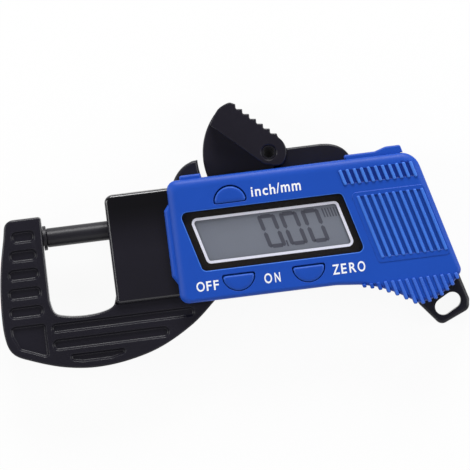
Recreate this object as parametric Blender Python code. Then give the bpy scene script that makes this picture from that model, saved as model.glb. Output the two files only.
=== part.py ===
"""Digital thickness gauge: a C-frame with an anvil and a sliding spindle, a thumb lever and a readout.

The gauge lies on its back. The origin is on the flat rear face, under the lever's pivot in X and under the
spindle's axis in Y. +X runs along the spindle away from the anvil, +Y to the lever and +Z to the display.
All sizes below are in millimetres and are turned into metres when a mesh is made.
"""

import math

import bmesh
import bpy
from mathutils import Matrix, Vector

MM = 0.001

# Clearances, and how far a cutter runs past what it cuts
GAP = 0.3
RUNNING = 0.06
SEAT = 0.1
OVER = 1.0

# The stack from the rear face to the display face
REAR_FLOOR = 2.0
WEB_CLEARANCE = 0.5
WEB_THICKNESS = 2.5
PAD_THICKNESS = 10.5
CARRIAGE_HEIGHT = 5.0
SCALE_THICKNESS = 0.6
BOARD_CLEARANCE = 0.4
BOARD_THICKNESS = 1.0
DISPLAY_ROOM = 2.5
FACE_THICKNESS = 1.5
FRAME_THICKNESS = 8.0
BOX_RISE = 5.3
WEB_BACK = REAR_FLOOR + WEB_CLEARANCE
WEB_FRONT = WEB_BACK + WEB_THICKNESS
PAD_FRONT = WEB_BACK + PAD_THICKNESS
CARRIAGE_BACK = WEB_FRONT + WEB_CLEARANCE
CARRIAGE_FRONT = CARRIAGE_BACK + CARRIAGE_HEIGHT
SPINDLE_Z = (CARRIAGE_BACK + CARRIAGE_FRONT) / 2
BOARD_BACK = CARRIAGE_FRONT + SCALE_THICKNESS + BOARD_CLEARANCE
BOARD_FRONT = BOARD_BACK + BOARD_THICKNESS
FACE_BOTTOM = BOARD_FRONT + DISPLAY_ROOM
COVER_TOP = FACE_BOTTOM + FACE_THICKNESS
FRAME_BACK = SPINDLE_Z - FRAME_THICKNESS / 2
FRAME_FRONT = SPINDLE_Z + FRAME_THICKNESS / 2
BOX_BACK = REAR_FLOOR + GAP
BOX_FRONT = SPINDLE_Z + BOX_RISE

# Spindle train along X, worked out from the drive pin, which half the travel brings under the pivot
TRAVEL = 12.7
DRIVE_PIN_X = -TRAVEL / 2
DRIVE_PIN_INSET = 7.65
CARRIAGE_LENGTH = 11.5
CARRIAGE_LEFT = DRIVE_PIN_X - DRIVE_PIN_INSET
CARRIAGE_RIGHT = CARRIAGE_LEFT + CARRIAGE_LENGTH
FRAME_END = CARRIAGE_LEFT - 3.2
BLOCK_LENGTH = 6.4
GUIDE_END = FRAME_END - BLOCK_LENGTH
GUIDE_LENGTH = 17.05
GUIDE_LEFT = GUIDE_END - GUIDE_LENGTH
THROAT_WIDTH = 15.75
ARM_FACE = GUIDE_LEFT - THROAT_WIDTH
TAIL_LENGTH = 5.0
BULKHEAD = 0.7
SPRING_BORE_DEPTH = CARRIAGE_LENGTH - TAIL_LENGTH - SEAT - BULKHEAD
POST_ROOM = 5.4
POST_THICKNESS = 1.6
POST_LEFT = CARRIAGE_RIGHT + TRAVEL + POST_ROOM
POST_TOP = SPINDLE_Z + 2.3
POST_EDGE = 3.4

# Housing outline
WALL = 1.5
HOUSING_TOP = 9.9
HOUSING_BOTTOM = -19.7
HOUSING_LEFT = GUIDE_END - 1.8
SLANT = 0.27
HOUSING_CORNER = 1.9
RIGHT_CORNER = 4.6
EDGE_RADIUS = 1.2
EDGE_CHAMFER = 0.7
REAR_MARGIN = 0.3
REAR_INSET = 0.15
REAR_CORNER = HOUSING_CORNER + 0.2

# Battery
CELL_R = 5.8
CELL_HEIGHT = 5.4
TRAY_WALL = 0.65
TRAY_FLOOR = 0.45
TRAY_HALF = CELL_R + SEAT + TRAY_WALL
CELL_CENTRE = (POST_LEFT + POST_THICKNESS + 0.95 + TRAY_HALF, HOUSING_TOP - CELL_R - 0.4)
TRAY_FRONT = FACE_BOTTOM - 0.15
TRAY_BACK = TRAY_FRONT - CELL_HEIGHT - TRAY_FLOOR - 0.25
TRAY_END = CELL_CENTRE[1] - CELL_R + 0.6
CAP_RISE = 1.9
CAP_STEP = 1.05
CONTACT_WIDTH = 3.6
CONTACT_THICKNESS = 0.35
CONTACT_FOOT = 2.1

# The split between the shells lies just behind the battery tray
COVER_BOTTOM = TRAY_BACK - 0.15
REAR_TOP = COVER_BOTTOM - GAP

# Fasteners
SCREW_R = 1.0
SCREW_HEAD_R = 2.0
SCREW_HEAD_HEIGHT = 1.1
SOCKET_R = 0.8
SOCKET_DEPTH = 0.45
HEAD_RECESS = SCREW_HEAD_HEIGHT + SEAT
BOSS_WALL = 1.1
BOARD_SCREW_R = 0.8
BOARD_HEAD_R = 1.5
BOARD_HEAD_HEIGHT = 0.9
HOUSING_RIGHT = CELL_CENTRE[0] + TRAY_HALF + 5.95
HOUSING_SCREWS = ((GUIDE_END + 3.6, HOUSING_TOP - 4.4), (GUIDE_END + 3.6, HOUSING_BOTTOM + 3.7),
                  (HOUSING_RIGHT - 3.3, -1.0), (HOUSING_RIGHT - 0.2, HOUSING_BOTTOM + 2.2))
BOARD_SCREWS = ((12.0, HOUSING_TOP - 4.3), (14.5, HOUSING_BOTTOM + 3.7), (25.0, HOUSING_BOTTOM + 9.7))

# Lanyard corner, measured from the housing's lower right corner
LANYARD_CORNER = (HOUSING_RIGHT - SLANT * HOUSING_BOTTOM, HOUSING_BOTTOM)
LOOP_THICKNESS = 6.0
LANYARD_SLOT_CENTRE = (LANYARD_CORNER[0] - 4.2, LANYARD_CORNER[1] - 7.7)
LANYARD_SLOT_LENGTH = 6.9
LANYARD_SLOT_WIDTH = 4.0
LANYARD_SLOT_ANGLE = 29.0

# Frame and guide box
GUIDE_TOP = 8.35
GUIDE_BOTTOM = HOUSING_BOTTOM + 2.1
GUIDE_WALL = 1.6
BOX_CORNER = 1.8
BOX_FOOT_CORNER = 0.8
BLOCK_TOP = HOUSING_TOP - WALL - GAP
ARM_TOP = 5.25
ARM_LEFT = ARM_FACE - 8.7
POCKET_DEPTH = 0.8
POCKET_RIM = 1.95
POCKET_RIGHT = ARM_FACE - 1.9
ARM_POCKET_COUNT = 5
ARM_POCKET_TOP = 2.4
ARM_POCKET_HEIGHT = 2.85
ARM_POCKET_PITCH = 4.5

# Spindle, anvil and what guides them
SPINDLE_R = 2.3
TAIL_R = 1.8
CLOSED_GAP = 0.05
ANVIL_R = 2.95
ANVIL_SHANK_R = 1.8
ANVIL_FACE = ARM_FACE + 0.9
ANVIL_SHANK_END = ARM_FACE - 6.1
BUSH_WALL = 0.8
BUSH_R = SPINDLE_R + BUSH_WALL
BUSH_LENGTH = 4.8
FRONT_BUSH_X = GUIDE_LEFT + 1.15
REAR_BUSH_X = GUIDE_END - 0.5 - BUSH_LENGTH
RIB_HALF = BUSH_R + 0.7
CARRIAGE_TOP_Y = 3.2
CARRIAGE_BOTTOM_Y = -11.0
SET_SCREW_R = 0.9
SCALE_LEFT = CARRIAGE_LEFT - 1.0
SCALE_RIGHT = CARRIAGE_RIGHT + 3.5
SCALE_HALF_WIDTH = 3.6
ROD_R = 1.0
ROD_Y = CARRIAGE_BOTTOM_Y + 2.5
ROD_LEFT = FRAME_END - 4.8
SPRING_R = 1.45
SPRING_WIRE_R = 0.2
SPRING_TURNS = 11
SPRING_TURN_STEPS = 9
SPRING_SIDES = 5
SPRING_BORE_R = SPRING_R + SPRING_WIRE_R + 0.25
GUIDE_PIN_R = SPRING_R - SPRING_WIRE_R - 0.4
GUIDE_PIN_TIP = CARRIAGE_RIGHT + TRAVEL - SPRING_BORE_DEPTH + 1.1
COLLAR_R = SPRING_R + 0.35
COLLAR_THICKNESS = 0.5
COLLAR_X = POST_LEFT - SEAT - COLLAR_THICKNESS

# Thumb lever
PIVOT = (0.0, HOUSING_TOP + 4.0)
DRIVE_RADIUS = PIVOT[1] + 2.5
LEVER_SWING = math.degrees(2 * math.atan(TRAVEL / 2 / DRIVE_RADIUS))
PAD_RISE = 4.72
PAD_DROP = 2.58
PAD_TIP = -15.9
TOOTH_PITCH = 2.03
TOOTH_HEIGHT = 0.95
FIRST_TOOTH = PAD_TIP + 2.67
LAST_TOOTH = -0.6
TOOTH_COUNT = int((LAST_TOOTH - FIRST_TOOTH) / TOOTH_PITCH) + 1
WEB_R = 15.9
BOSS_R = 4.25
BOSS_LOW_R = 3.3
PIVOT_R = 1.5
COUNTERBORE_R = PIVOT_R + 0.35
COUNTERBORE_Z = PAD_FRONT - 3.5
PIVOT_HEAD_HEIGHT = 1.2
DRIVER_R = 0.7
DRIVER_DEPTH = 0.7
DRIVE_PIN_R = 1.0
FORK_CLEARANCE = 0.3
FORK_PRONG = 1.5
FORK_OVERLAP = 0.7
LEVER_ROOM = 1.4
LUG_REACH = 5.2

# The rear shell's humps on both sides of the lever
BUMP_R = WEB_R + LEVER_ROOM
HUMP_LEFT = 4.75
HUMP_RIGHT = 19.2
HUMP_TOP = HOUSING_TOP + 4.3
HUMP_FOOT = HOUSING_TOP - 1.2

# Display and buttons; left and right of the slanted shapes hold at height zero
WINDOW_TOP = HOUSING_TOP - 8.0
WINDOW_BOTTOM = HOUSING_BOTTOM + 7.5
WINDOW_LEFT = -22.25
WINDOW_RIGHT = 16.8
WINDOW_CORNER = 0.9
WINDOW_RECESS = 0.45
LCD_TOP = WINDOW_TOP - 1.55
LCD_BOTTOM = WINDOW_BOTTOM + 1.3
LCD_LEFT = WINDOW_LEFT + 1.65
LCD_RIGHT = WINDOW_RIGHT - 1.65
LCD_CORNER = 1.2
LCD_BORDER = 0.65
MASK_THICKNESS = 0.25
LAYER_GAP = 0.05
GLASS_THICKNESS = 1.1
ZEBRA_HALF = 0.6
ZEBRA_HEIGHT = 0.8
CHIP = (-2.0, -8.2, 5.0, -2.6)
CHIP_HEIGHT = 0.7
BUTTON_R = 3.85
BUTTON_PROUD = 0.4
BUTTON_TRAVEL = 0.4
BUTTON_CLEARANCE = 0.2
BUTTON_FLANGE = 0.6
FLANGE_THICKNESS = 0.5
STEM_R = 1.2
DOME_R = 1.9
DOME_HEIGHT = 0.7
UNIT_BUTTON = (-10.65, HOUSING_TOP - 6.7, 1)
POWER_BUTTON = (-10.85, HOUSING_BOTTOM + 5.5, -1)
ZERO_BUTTON = (6.05, HOUSING_BOTTOM + 5.5, -1)

# Ribs, panel and ledges on the front cover
RIB_PITCH = 1.7
RIB_WIDTH = 0.75
RIB_RISE = 0.45
RIB_ROOT = 0.5
RIB_MARGIN = 1.0
UPPER_RIB_X = 16.5
UPPER_RIB_TOP = HOUSING_TOP - 2.1
UPPER_RIB_BOTTOM = UPPER_RIB_TOP - 4.0
MAIN_RIB_X = 20.0
MAIN_RIB_TOP = HOUSING_TOP - 9.05
MAIN_RIB_BOTTOM = HOUSING_BOTTOM + 5.1
LOWER_RIB_X = 18.7
LOWER_RIB_TOP = HOUSING_BOTTOM + 0.7
LOWER_RIB_REACH = 0.65
PANEL_RISE = 0.15
PANEL_MARGIN = 0.9
PANEL_CORNER = 0.7
BULGE = 1.3
BULGE_BACK = BOX_FRONT + GAP
LEDGE_LEFT = HOUSING_LEFT + 3.3
LEDGE_WIDTH = 5.2
LEDGE_RISE = 1.0

SEGMENTS = 24
SHAFT_SEGMENTS = 32
SMALL_SEGMENTS = 14
ARC_STEPS = 4

COLOURS = {
    "blue_plastic": ((0.02, 0.075, 0.48), 0.38, 0.0),
    "black_plastic": ((0.018, 0.017, 0.02), 0.42, 0.0),
    "black_steel": ((0.03, 0.03, 0.033), 0.35, 0.9),
    "steel": ((0.55, 0.55, 0.56), 0.3, 1.0),
    "brass": ((0.6, 0.42, 0.16), 0.35, 1.0),
    "clear_plastic": ((0.8, 0.82, 0.84), 0.1, 0.0),
    "lcd_grey": ((0.18, 0.2, 0.23), 0.3, 0.0),
    "white_plastic": ((0.6, 0.6, 0.58), 0.5, 0.0),
    "board_green": ((0.02, 0.16, 0.06), 0.5, 0.0),
    "rubber": ((0.05, 0.05, 0.05), 0.8, 0.0),
}


def material(name):
    """The named plastic or metal, made once."""
    found = bpy.data.materials.get(name)
    if found:
        return found
    colour, roughness, metallic = COLOURS[name]
    made = bpy.data.materials.new(name)
    made.use_nodes = True
    shader = made.node_tree.nodes["Principled BSDF"]
    shader.inputs["Base Color"].default_value = (*colour, 1.0)
    shader.inputs["Roughness"].default_value = roughness
    shader.inputs["Metallic"].default_value = metallic
    made.diffuse_color = (*colour, 1.0)
    return made


def arc(centre, radius, start, end, steps=12):
    """Points on an arc, angles in degrees."""
    points = []
    for i in range(steps + 1):
        angle = math.radians(start + (end - start) * i / steps)
        points.append((centre[0] + radius * math.cos(angle), centre[1] + radius * math.sin(angle)))
    return points


def spline(keys, steps=3):
    """A smooth curve through the key points."""
    padded = [keys[0]] + list(keys) + [keys[-1]]
    points = []
    for i in range(len(keys) - 1):
        a, b, c, d = (Vector(p) for p in padded[i:i + 4])
        for k in range(steps):
            t = k / steps
            bend = 2 * a - 5 * b + 4 * c - d
            twist = 3 * b - a - 3 * c + d
            p = 0.5 * (2 * b + (c - a) * t + bend * t * t + twist * t ** 3)
            points.append((p.x, p.y))
    points.append(tuple(keys[-1]))
    return points


def turned_by(points, degrees, centre):
    """Points given about a centre, turned and moved to it."""
    angle = math.radians(degrees)
    c, s = math.cos(angle), math.sin(angle)
    return [(centre[0] + x * c - y * s, centre[1] + x * s + y * c) for x, y in points]


def sharp(points):
    """Corners without a radius."""
    return [(x, y, 0.0) for x, y in points]


def outline(corners, grow=0.0):
    """A counter-clockwise outline with rounded corners, moved outwards by grow."""
    count = len(corners)
    spots = [Vector((x, y)) for x, y, _ in corners]
    moved = []
    turns = []
    for i in range(count):
        before = (spots[i] - spots[i - 1]).normalized()
        after = (spots[(i + 1) % count] - spots[i]).normalized()
        turn = math.atan2(before.x * after.y - before.y * after.x, before.dot(after))
        side = Vector((before.y + after.y, -before.x - after.x))
        moved.append(spots[i] + side * (grow / (1.0 + before.dot(after))))
        turns.append(turn)
    points = []
    for i, (_, _, radius) in enumerate(corners):
        if radius == 0.0 or abs(turns[i]) < 1e-3:
            points.append(tuple(moved[i]))
            continue
        radius = max(0.05, radius + (grow if turns[i] > 0 else -grow))
        to_last = moved[i - 1] - moved[i]
        to_next = moved[(i + 1) % count] - moved[i]
        half = abs(turns[i]) / 2
        length = min(radius * math.tan(half), 0.49 * to_last.length, 0.49 * to_next.length)
        start = moved[i] + to_last.normalized() * length
        end = moved[i] + to_next.normalized() * length
        middle = moved[i]
        weight = math.cos(half)
        for k in range(ARC_STEPS + 1):
            t = k / ARC_STEPS
            total = (1 - t) ** 2 + 2 * weight * t * (1 - t) + t * t
            p = (start * (1 - t) ** 2 + middle * 2 * weight * t * (1 - t) + end * t * t) / total
            points.append((p.x, p.y))
    return points


def finish(name, bm, colour, origin=(0.0, 0.0, 0.0), guide=False):
    """Turns a bmesh in millimetres into an object in metres with its origin where it is asked for."""
    bmesh.ops.transform(bm, matrix=Matrix.Translation(-Vector(origin)), verts=bm.verts)
    bmesh.ops.scale(bm, vec=(MM, MM, MM), verts=bm.verts)
    mesh = bpy.data.meshes.new(name)
    bm.to_mesh(mesh)
    bm.free()
    made = bpy.data.objects.new(name, mesh)
    made.location = Vector(origin) * MM
    bpy.context.scene.collection.objects.link(made)
    if guide:
        made.hide_render = True
        made.display_type = "WIRE"
    else:
        mesh.materials.append(material(colour))
        mesh.shade_smooth()
        mesh.set_sharp_from_angle(angle=math.radians(35))
    return made


def add_loft(bm, rings):
    """A closed solid through equal rings of (points, z), lowest first."""
    loops = [[bm.verts.new((x, y, z)) for x, y in points] for points, z in rings]
    count = len(loops[0])
    bm.faces.new(reversed(loops[0]))
    bm.faces.new(loops[-1])
    for low, high in zip(loops, loops[1:]):
        for i in range(count):
            j = (i + 1) % count
            bm.faces.new((low[i], low[j], high[j], high[i]))


def add_prism(bm, points, low, high):
    add_loft(bm, [(points, low), (points, high)])


def rectangle(left, bottom, right, top, radius=0.0):
    return outline([(left, bottom, radius), (right, bottom, radius),
                    (right, top, radius), (left, top, radius)])


def add_box(bm, low, high):
    add_prism(bm, rectangle(low[0], low[1], high[0], high[1]), low[2], high[2])


def add_turned(bm, profile, base, axis="Z", segments=SEGMENTS):
    """A turned solid: profile is (radius, height) up its outer side, closed on the axis or as a ring."""
    turn = {"Z": Matrix.Identity(4), "X": Matrix.Rotation(math.pi / 2, 4, "Y"),
            "Y": Matrix.Rotation(-math.pi / 2, 4, "X")}[axis]
    place = Matrix.Translation(base) @ turn
    rings = []
    for radius, height in profile:
        if radius == 0.0:
            rings.append([bm.verts.new(place @ Vector((0, 0, height)))])
            continue
        points = arc((0, 0), radius, 0, 360, segments)[:-1]
        rings.append([bm.verts.new(place @ Vector((x, y, height))) for x, y in points])
    ring_shaped = profile[0][0] > 0.0
    pairs = list(zip(rings, rings[1:]))
    if ring_shaped:
        pairs.append((rings[-1], rings[0]))
    for low, high in pairs:
        for i in range(segments):
            j = (i + 1) % segments
            if len(low) == 1:
                bm.faces.new((low[0], high[j], high[i]))
            elif len(high) == 1:
                bm.faces.new((low[i], low[j], high[0]))
            else:
                bm.faces.new((low[i], low[j], high[j], high[i]))


def add_rod(bm, radius, base, length, axis="Z", segments=SEGMENTS):
    add_turned(bm, [(0.0, 0.0), (radius, 0.0), (radius, length), (0.0, length)], base, axis, segments)


def combine(target, tool_name, bm, operation="DIFFERENCE", solver="EXACT"):
    """Cuts the bmesh out of the target, or joins it on, with a Boolean that stays on the object."""
    tool = finish(tool_name, bm, None, guide=True)
    step = target.modifiers.new(tool_name, "BOOLEAN")
    step.operation = operation
    step.object = tool
    step.solver = solver


def slanted(left, bottom, right, top, radius):
    """A parallelogram whose sides lean as the housing's right edge does; left and right hold at height zero."""
    return [(left - SLANT * bottom, bottom, radius), (right - SLANT * bottom, bottom, radius),
            (right - SLANT * top, top, radius), (left - SLANT * top, top, radius)]


def right_edge(y):
    """The housing's right edge at a height."""
    return HOUSING_RIGHT - SLANT * y


def from_lanyard_corner(offsets):
    """Corners given by their place from the housing's lower right corner."""
    return [(LANYARD_CORNER[0] + x, LANYARD_CORNER[1] + y, radius) for x, y, radius in offsets]


def lower_edge():
    """The housing's lower edge, which drops to the lanyard corner and comes back up to the right side."""
    return from_lanyard_corner([(-30.5, 0.0, 0.0), (-24.5, -0.6, 0.0), (-20.5, -1.6, 0.0), (-16.5, -3.4, 0.0),
                                (-13.0, -5.6, 0.0), (-11.2, -6.8, 1.0), (-8.0, -6.4, 0.0), (-5.0, -5.2, 0.0),
                                (-2.2, -3.1, 0.0), (0.1, -0.7, 1.6)])


def housing_corners(left=HOUSING_LEFT, left_radius=HOUSING_CORNER):
    """The housing's outline, with its slanted right end and the lower edge that drops to the lanyard corner."""
    return ([(left, HOUSING_BOTTOM, left_radius)] + lower_edge()
            + [(right_edge(HOUSING_TOP), HOUSING_TOP, RIGHT_CORNER), (left, HOUSING_TOP, left_radius)])


def frame_outer():
    """The C-frame's outer curve, from the arm's top left round the bow to where it goes under the cover."""
    return spline([(-65.85, 1.0), (-67.37, -6.0), (-68.33, -14.0), (-68.42, -22.0), (-66.9, -26.6),
                   (-62.3, -29.0), (-55.0, -31.3), (-47.3, -32.2), (-39.0, -31.4), (-31.0, -29.1), (-23.0, -24.7),
                   (FRAME_END, HOUSING_BOTTOM - SEAT)])


def frame_throat():
    """The throat's curve, from the guide box down and up again to the anvil's arm."""
    return spline([(GUIDE_LEFT, -15.5), (GUIDE_LEFT - 0.95, -18.1), (GUIDE_LEFT - 3.85, -19.25),
                   (GUIDE_LEFT - 8.15, -19.6), (ARM_FACE + 3.4, -19.2), (ARM_FACE + 0.6, -18.1),
                   (ARM_FACE - 0.25, -15.0)])


def block_end():
    """The outline over the block that reaches into the housing, up to the guide box's top left corner."""
    return [(FRAME_END, BLOCK_TOP, 0.3), (GUIDE_END, BLOCK_TOP, 0.0), (GUIDE_END, GUIDE_TOP, 0.0),
            (GUIDE_LEFT, GUIDE_TOP, BOX_CORNER)]


def frame_corners():
    return (sharp(frame_outer()) + block_end() + sharp(frame_throat())
            + [(ARM_FACE, ARM_TOP, 0.8), (ARM_LEFT, ARM_TOP, 2.2)])


def frame_edge_x(y):
    """The frame's left edge at a height."""
    points = [p for p in frame_outer() if p[0] < ARM_LEFT]
    for (x0, y0), (x1, y1) in zip(points, points[1:]):
        if y1 <= y <= y0:
            return x0 + (x1 - x0) * (y - y0) / (y1 - y0)
    return points[0][0]


def pocket_outlines():
    """The recesses in the frame's front: short ones on the arm, a corner one and three along the bow."""
    found = []
    for i in range(ARM_POCKET_COUNT):
        top = ARM_POCKET_TOP - ARM_POCKET_PITCH * i
        bottom = top - ARM_POCKET_HEIGHT
        left = frame_edge_x((top + bottom) / 2) + POCKET_RIM
        found.append(rectangle(left, bottom, POCKET_RIGHT, top, 1.0))
    found.append(outline([(-65.3, -25.9, 1.5), (POCKET_RIGHT - 1.0, -28.3, 0.8), (POCKET_RIGHT, -28.1, 0.5),
                          (POCKET_RIGHT, -20.2, 0.9), (-66.7, -20.2, 0.9), (-66.7, -22.4, 2.0)]))
    found.append(rectangle(ARM_FACE - 0.6, -22.9, GUIDE_END + 1.2, -20.6, 0.9))
    found.append(rectangle(ARM_FACE - 0.7, -27.1, -29.0, -24.4, 0.9))
    found.append(outline([(-53.2, -29.9, 0.8), (-50.5, -30.5, 0.6), (-43.5, -30.5, 0.6), (-40.0, -29.7, 0.8),
                          (-40.0, -28.4, 0.6), (-53.2, -28.4, 0.6)]))
    return found


def guide_pockets(bm, low, high):
    """The hollows on both sides of the rib that carries the spindle."""
    left = GUIDE_LEFT + GUIDE_WALL
    right = GUIDE_END - GUIDE_WALL
    add_prism(bm, rectangle(left, RIB_HALF, right, GUIDE_TOP - GUIDE_WALL, 0.6), low, high)
    add_prism(bm, rectangle(left, GUIDE_BOTTOM + GUIDE_WALL, right, -RIB_HALF, 0.6), low, high)


def spindle_channel(bm):
    """The spindle's way through the guide box, wider where the bushes sit."""
    start = GUIDE_LEFT - OVER
    end = FRAME_END + OVER - start
    narrow = SPINDLE_R + GAP
    wide = BUSH_R + SEAT
    profile = [(0.0, 0.0), (narrow, 0.0)]
    for x in (FRONT_BUSH_X, REAR_BUSH_X):
        low = x - SEAT - start
        high = x + BUSH_LENGTH + SEAT - start
        profile += [(narrow, low), (wide, low), (wide, high), (narrow, high)]
    add_turned(bm, profile + [(narrow, end), (0.0, end)], (start, 0.0, SPINDLE_Z), "X")


def c_frame():
    bm = bmesh.new()
    add_prism(bm, outline(frame_corners()), FRAME_BACK, FRAME_FRONT)
    frame = finish("c_frame", bm, "black_plastic")
    foot = [(GUIDE_LEFT, GUIDE_BOTTOM, BOX_FOOT_CORNER), (FRAME_END, GUIDE_BOTTOM, 0.0)]
    bm = bmesh.new()
    add_prism(bm, outline(foot + block_end()), BOX_BACK, SPINDLE_Z - OVER)
    combine(frame, "frame_box_back", bm, "UNION")
    bm = bmesh.new()
    add_box(bm, (GUIDE_LEFT - GAP, GUIDE_BOTTOM - GAP, SPINDLE_Z),
            (GUIDE_END + GAP, GUIDE_TOP + OVER, COVER_TOP))
    combine(frame, "frame_lid_seat", bm)
    bm = bmesh.new()
    guide_pockets(bm, BOX_BACK + GUIDE_WALL, COVER_TOP)
    combine(frame, "frame_hollows", bm)
    bm = bmesh.new()
    spindle_channel(bm)
    combine(frame, "frame_channel", bm)
    bm = bmesh.new()
    for points in pocket_outlines():
        add_prism(bm, points, FRAME_FRONT - POCKET_DEPTH, COVER_TOP)
    combine(frame, "frame_pockets", bm)
    bm = bmesh.new()
    add_rod(bm, ANVIL_SHANK_R + SEAT, (ANVIL_SHANK_END - SEAT, 0.0, SPINDLE_Z),
            ARM_FACE + OVER - ANVIL_SHANK_END, "X")
    add_rod(bm, ROD_R + SEAT, (ROD_LEFT - SEAT, ROD_Y, SPINDLE_Z), FRAME_END + OVER - ROD_LEFT, "X")
    for x, y in HOUSING_SCREWS[:2]:
        add_rod(bm, SCREW_R + GAP, (x, y, 0.0), COVER_TOP)
    combine(frame, "frame_bores", bm)


def guide_box_cover():
    corners = [(GUIDE_LEFT, GUIDE_BOTTOM, BOX_FOOT_CORNER), (GUIDE_END, GUIDE_BOTTOM, 0.3),
               (GUIDE_END, GUIDE_TOP, 0.3), (GUIDE_LEFT, GUIDE_TOP, BOX_CORNER)]
    bm = bmesh.new()
    add_loft(bm, [(outline(corners), SPINDLE_Z + SEAT), (outline(corners), BOX_FRONT - EDGE_CHAMFER),
                  (outline(corners, -EDGE_CHAMFER), BOX_FRONT)])
    lid = finish("guide_box_cover", bm, "black_plastic")
    bm = bmesh.new()
    guide_pockets(bm, 0.0, BOX_FRONT - GUIDE_WALL)
    combine(lid, "lid_hollows", bm)
    bm = bmesh.new()
    spindle_channel(bm)
    combine(lid, "lid_channel", bm)


def bush(name, x):
    bm = bmesh.new()
    add_turned(bm, [(SPINDLE_R + RUNNING, 0.0), (BUSH_R, 0.0), (BUSH_R, BUSH_LENGTH),
                    (SPINDLE_R + RUNNING, BUSH_LENGTH)], (x, 0.0, SPINDLE_Z), "X", SHAFT_SEGMENTS)
    finish(name, bm, "brass")


def anvil():
    shank = ARM_FACE + SEAT - ANVIL_SHANK_END
    bm = bmesh.new()
    add_turned(bm, [(0.0, 0.0), (ANVIL_SHANK_R, 0.0), (ANVIL_SHANK_R, shank), (ANVIL_R, shank),
                    (ANVIL_R, ANVIL_FACE - ANVIL_SHANK_END), (0.0, ANVIL_FACE - ANVIL_SHANK_END)],
               (ANVIL_SHANK_END, 0.0, SPINDLE_Z), "X")
    finish("anvil", bm, "black_steel")


def spindle():
    start = ANVIL_FACE + CLOSED_GAP
    body = CARRIAGE_LEFT - GAP - start
    bm = bmesh.new()
    add_turned(bm, [(0.0, 0.0), (SPINDLE_R - 0.2, 0.0), (SPINDLE_R, 0.2), (SPINDLE_R, body), (TAIL_R, body),
                    (TAIL_R, body + GAP + TAIL_LENGTH), (0.0, body + GAP + TAIL_LENGTH)],
               (start, 0.0, SPINDLE_Z), "X", SHAFT_SEGMENTS)
    finish("spindle", bm, "black_steel", (start, 0.0, SPINDLE_Z))


def carriage():
    origin = (CARRIAGE_LEFT, 0.0, SPINDLE_Z)
    through = CARRIAGE_LENGTH + 2 * OVER
    bm = bmesh.new()
    add_box(bm, (CARRIAGE_LEFT, CARRIAGE_BOTTOM_Y, CARRIAGE_BACK),
            (CARRIAGE_RIGHT, CARRIAGE_TOP_Y, CARRIAGE_FRONT))
    block = finish("carriage", bm, "white_plastic", origin)
    bm = bmesh.new()
    add_rod(bm, TAIL_R + SEAT, (CARRIAGE_LEFT - OVER, 0.0, SPINDLE_Z), OVER + TAIL_LENGTH + SEAT, "X")
    add_rod(bm, SPRING_BORE_R, (CARRIAGE_RIGHT - SPRING_BORE_DEPTH, 0.0, SPINDLE_Z),
            SPRING_BORE_DEPTH + OVER, "X")
    combine(block, "carriage_bores", bm)
    bm = bmesh.new()
    add_rod(bm, ROD_R + RUNNING, (CARRIAGE_LEFT - OVER, ROD_Y, SPINDLE_Z), through, "X")
    add_rod(bm, DRIVE_PIN_R + SEAT, (DRIVE_PIN_X, PIVOT[1] - DRIVE_RADIUS, CARRIAGE_BACK - OVER),
            OVER + GAP)
    combine(block, "carriage_rod_hole", bm)
    bm = bmesh.new()
    add_rod(bm, SET_SCREW_R + SEAT, (CARRIAGE_LEFT + TAIL_LENGTH / 2, TAIL_R, SPINDLE_Z),
            CARRIAGE_TOP_Y + OVER - TAIL_R, "Y")
    combine(block, "carriage_screw_hole", bm)


def carriage_fittings():
    """What rides on the carriage: the pin that the lever drives, the set screw and the scale."""
    y = PIVOT[1] - DRIVE_RADIUS
    pin_back = WEB_BACK + SEAT
    bm = bmesh.new()
    add_rod(bm, DRIVE_PIN_R, (DRIVE_PIN_X, y, pin_back), CARRIAGE_BACK + GAP - SEAT - pin_back)
    finish("drive_pin", bm, "steel", (DRIVE_PIN_X, y, SPINDLE_Z))
    x = CARRIAGE_LEFT + TAIL_LENGTH / 2
    bm = bmesh.new()
    add_rod(bm, SET_SCREW_R, (x, TAIL_R + SEAT, SPINDLE_Z), CARRIAGE_TOP_Y - TAIL_R - SEAT, "Y",
            SMALL_SEGMENTS)
    finish("carriage_set_screw", bm, "black_steel", (x, 0.0, SPINDLE_Z))
    bm = bmesh.new()
    add_box(bm, (SCALE_LEFT, -SCALE_HALF_WIDTH, CARRIAGE_FRONT),
            (SCALE_RIGHT, CARRIAGE_TOP_Y - SEAT, CARRIAGE_FRONT + SCALE_THICKNESS))
    finish("scale_strip", bm, "board_green", (SCALE_LEFT, 0.0, SPINDLE_Z))


def guide_rod():
    bm = bmesh.new()
    add_rod(bm, ROD_R, (ROD_LEFT, ROD_Y, SPINDLE_Z), POST_LEFT + POST_THICKNESS - ROD_LEFT, "X")
    finish("guide_rod", bm, "steel")


def spring_guide_pin():
    collar_end = COLLAR_X + COLLAR_THICKNESS
    pin_end = POST_LEFT + POST_THICKNESS
    bm = bmesh.new()
    add_turned(bm, [(0.0, GUIDE_PIN_TIP), (GUIDE_PIN_R, GUIDE_PIN_TIP), (GUIDE_PIN_R, COLLAR_X),
                    (COLLAR_R, COLLAR_X), (COLLAR_R, collar_end), (GUIDE_PIN_R, collar_end),
                    (GUIDE_PIN_R, pin_end), (0.0, pin_end)], (0.0, 0.0, SPINDLE_Z), "X")
    finish("spring_guide_pin", bm, "steel")


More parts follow.
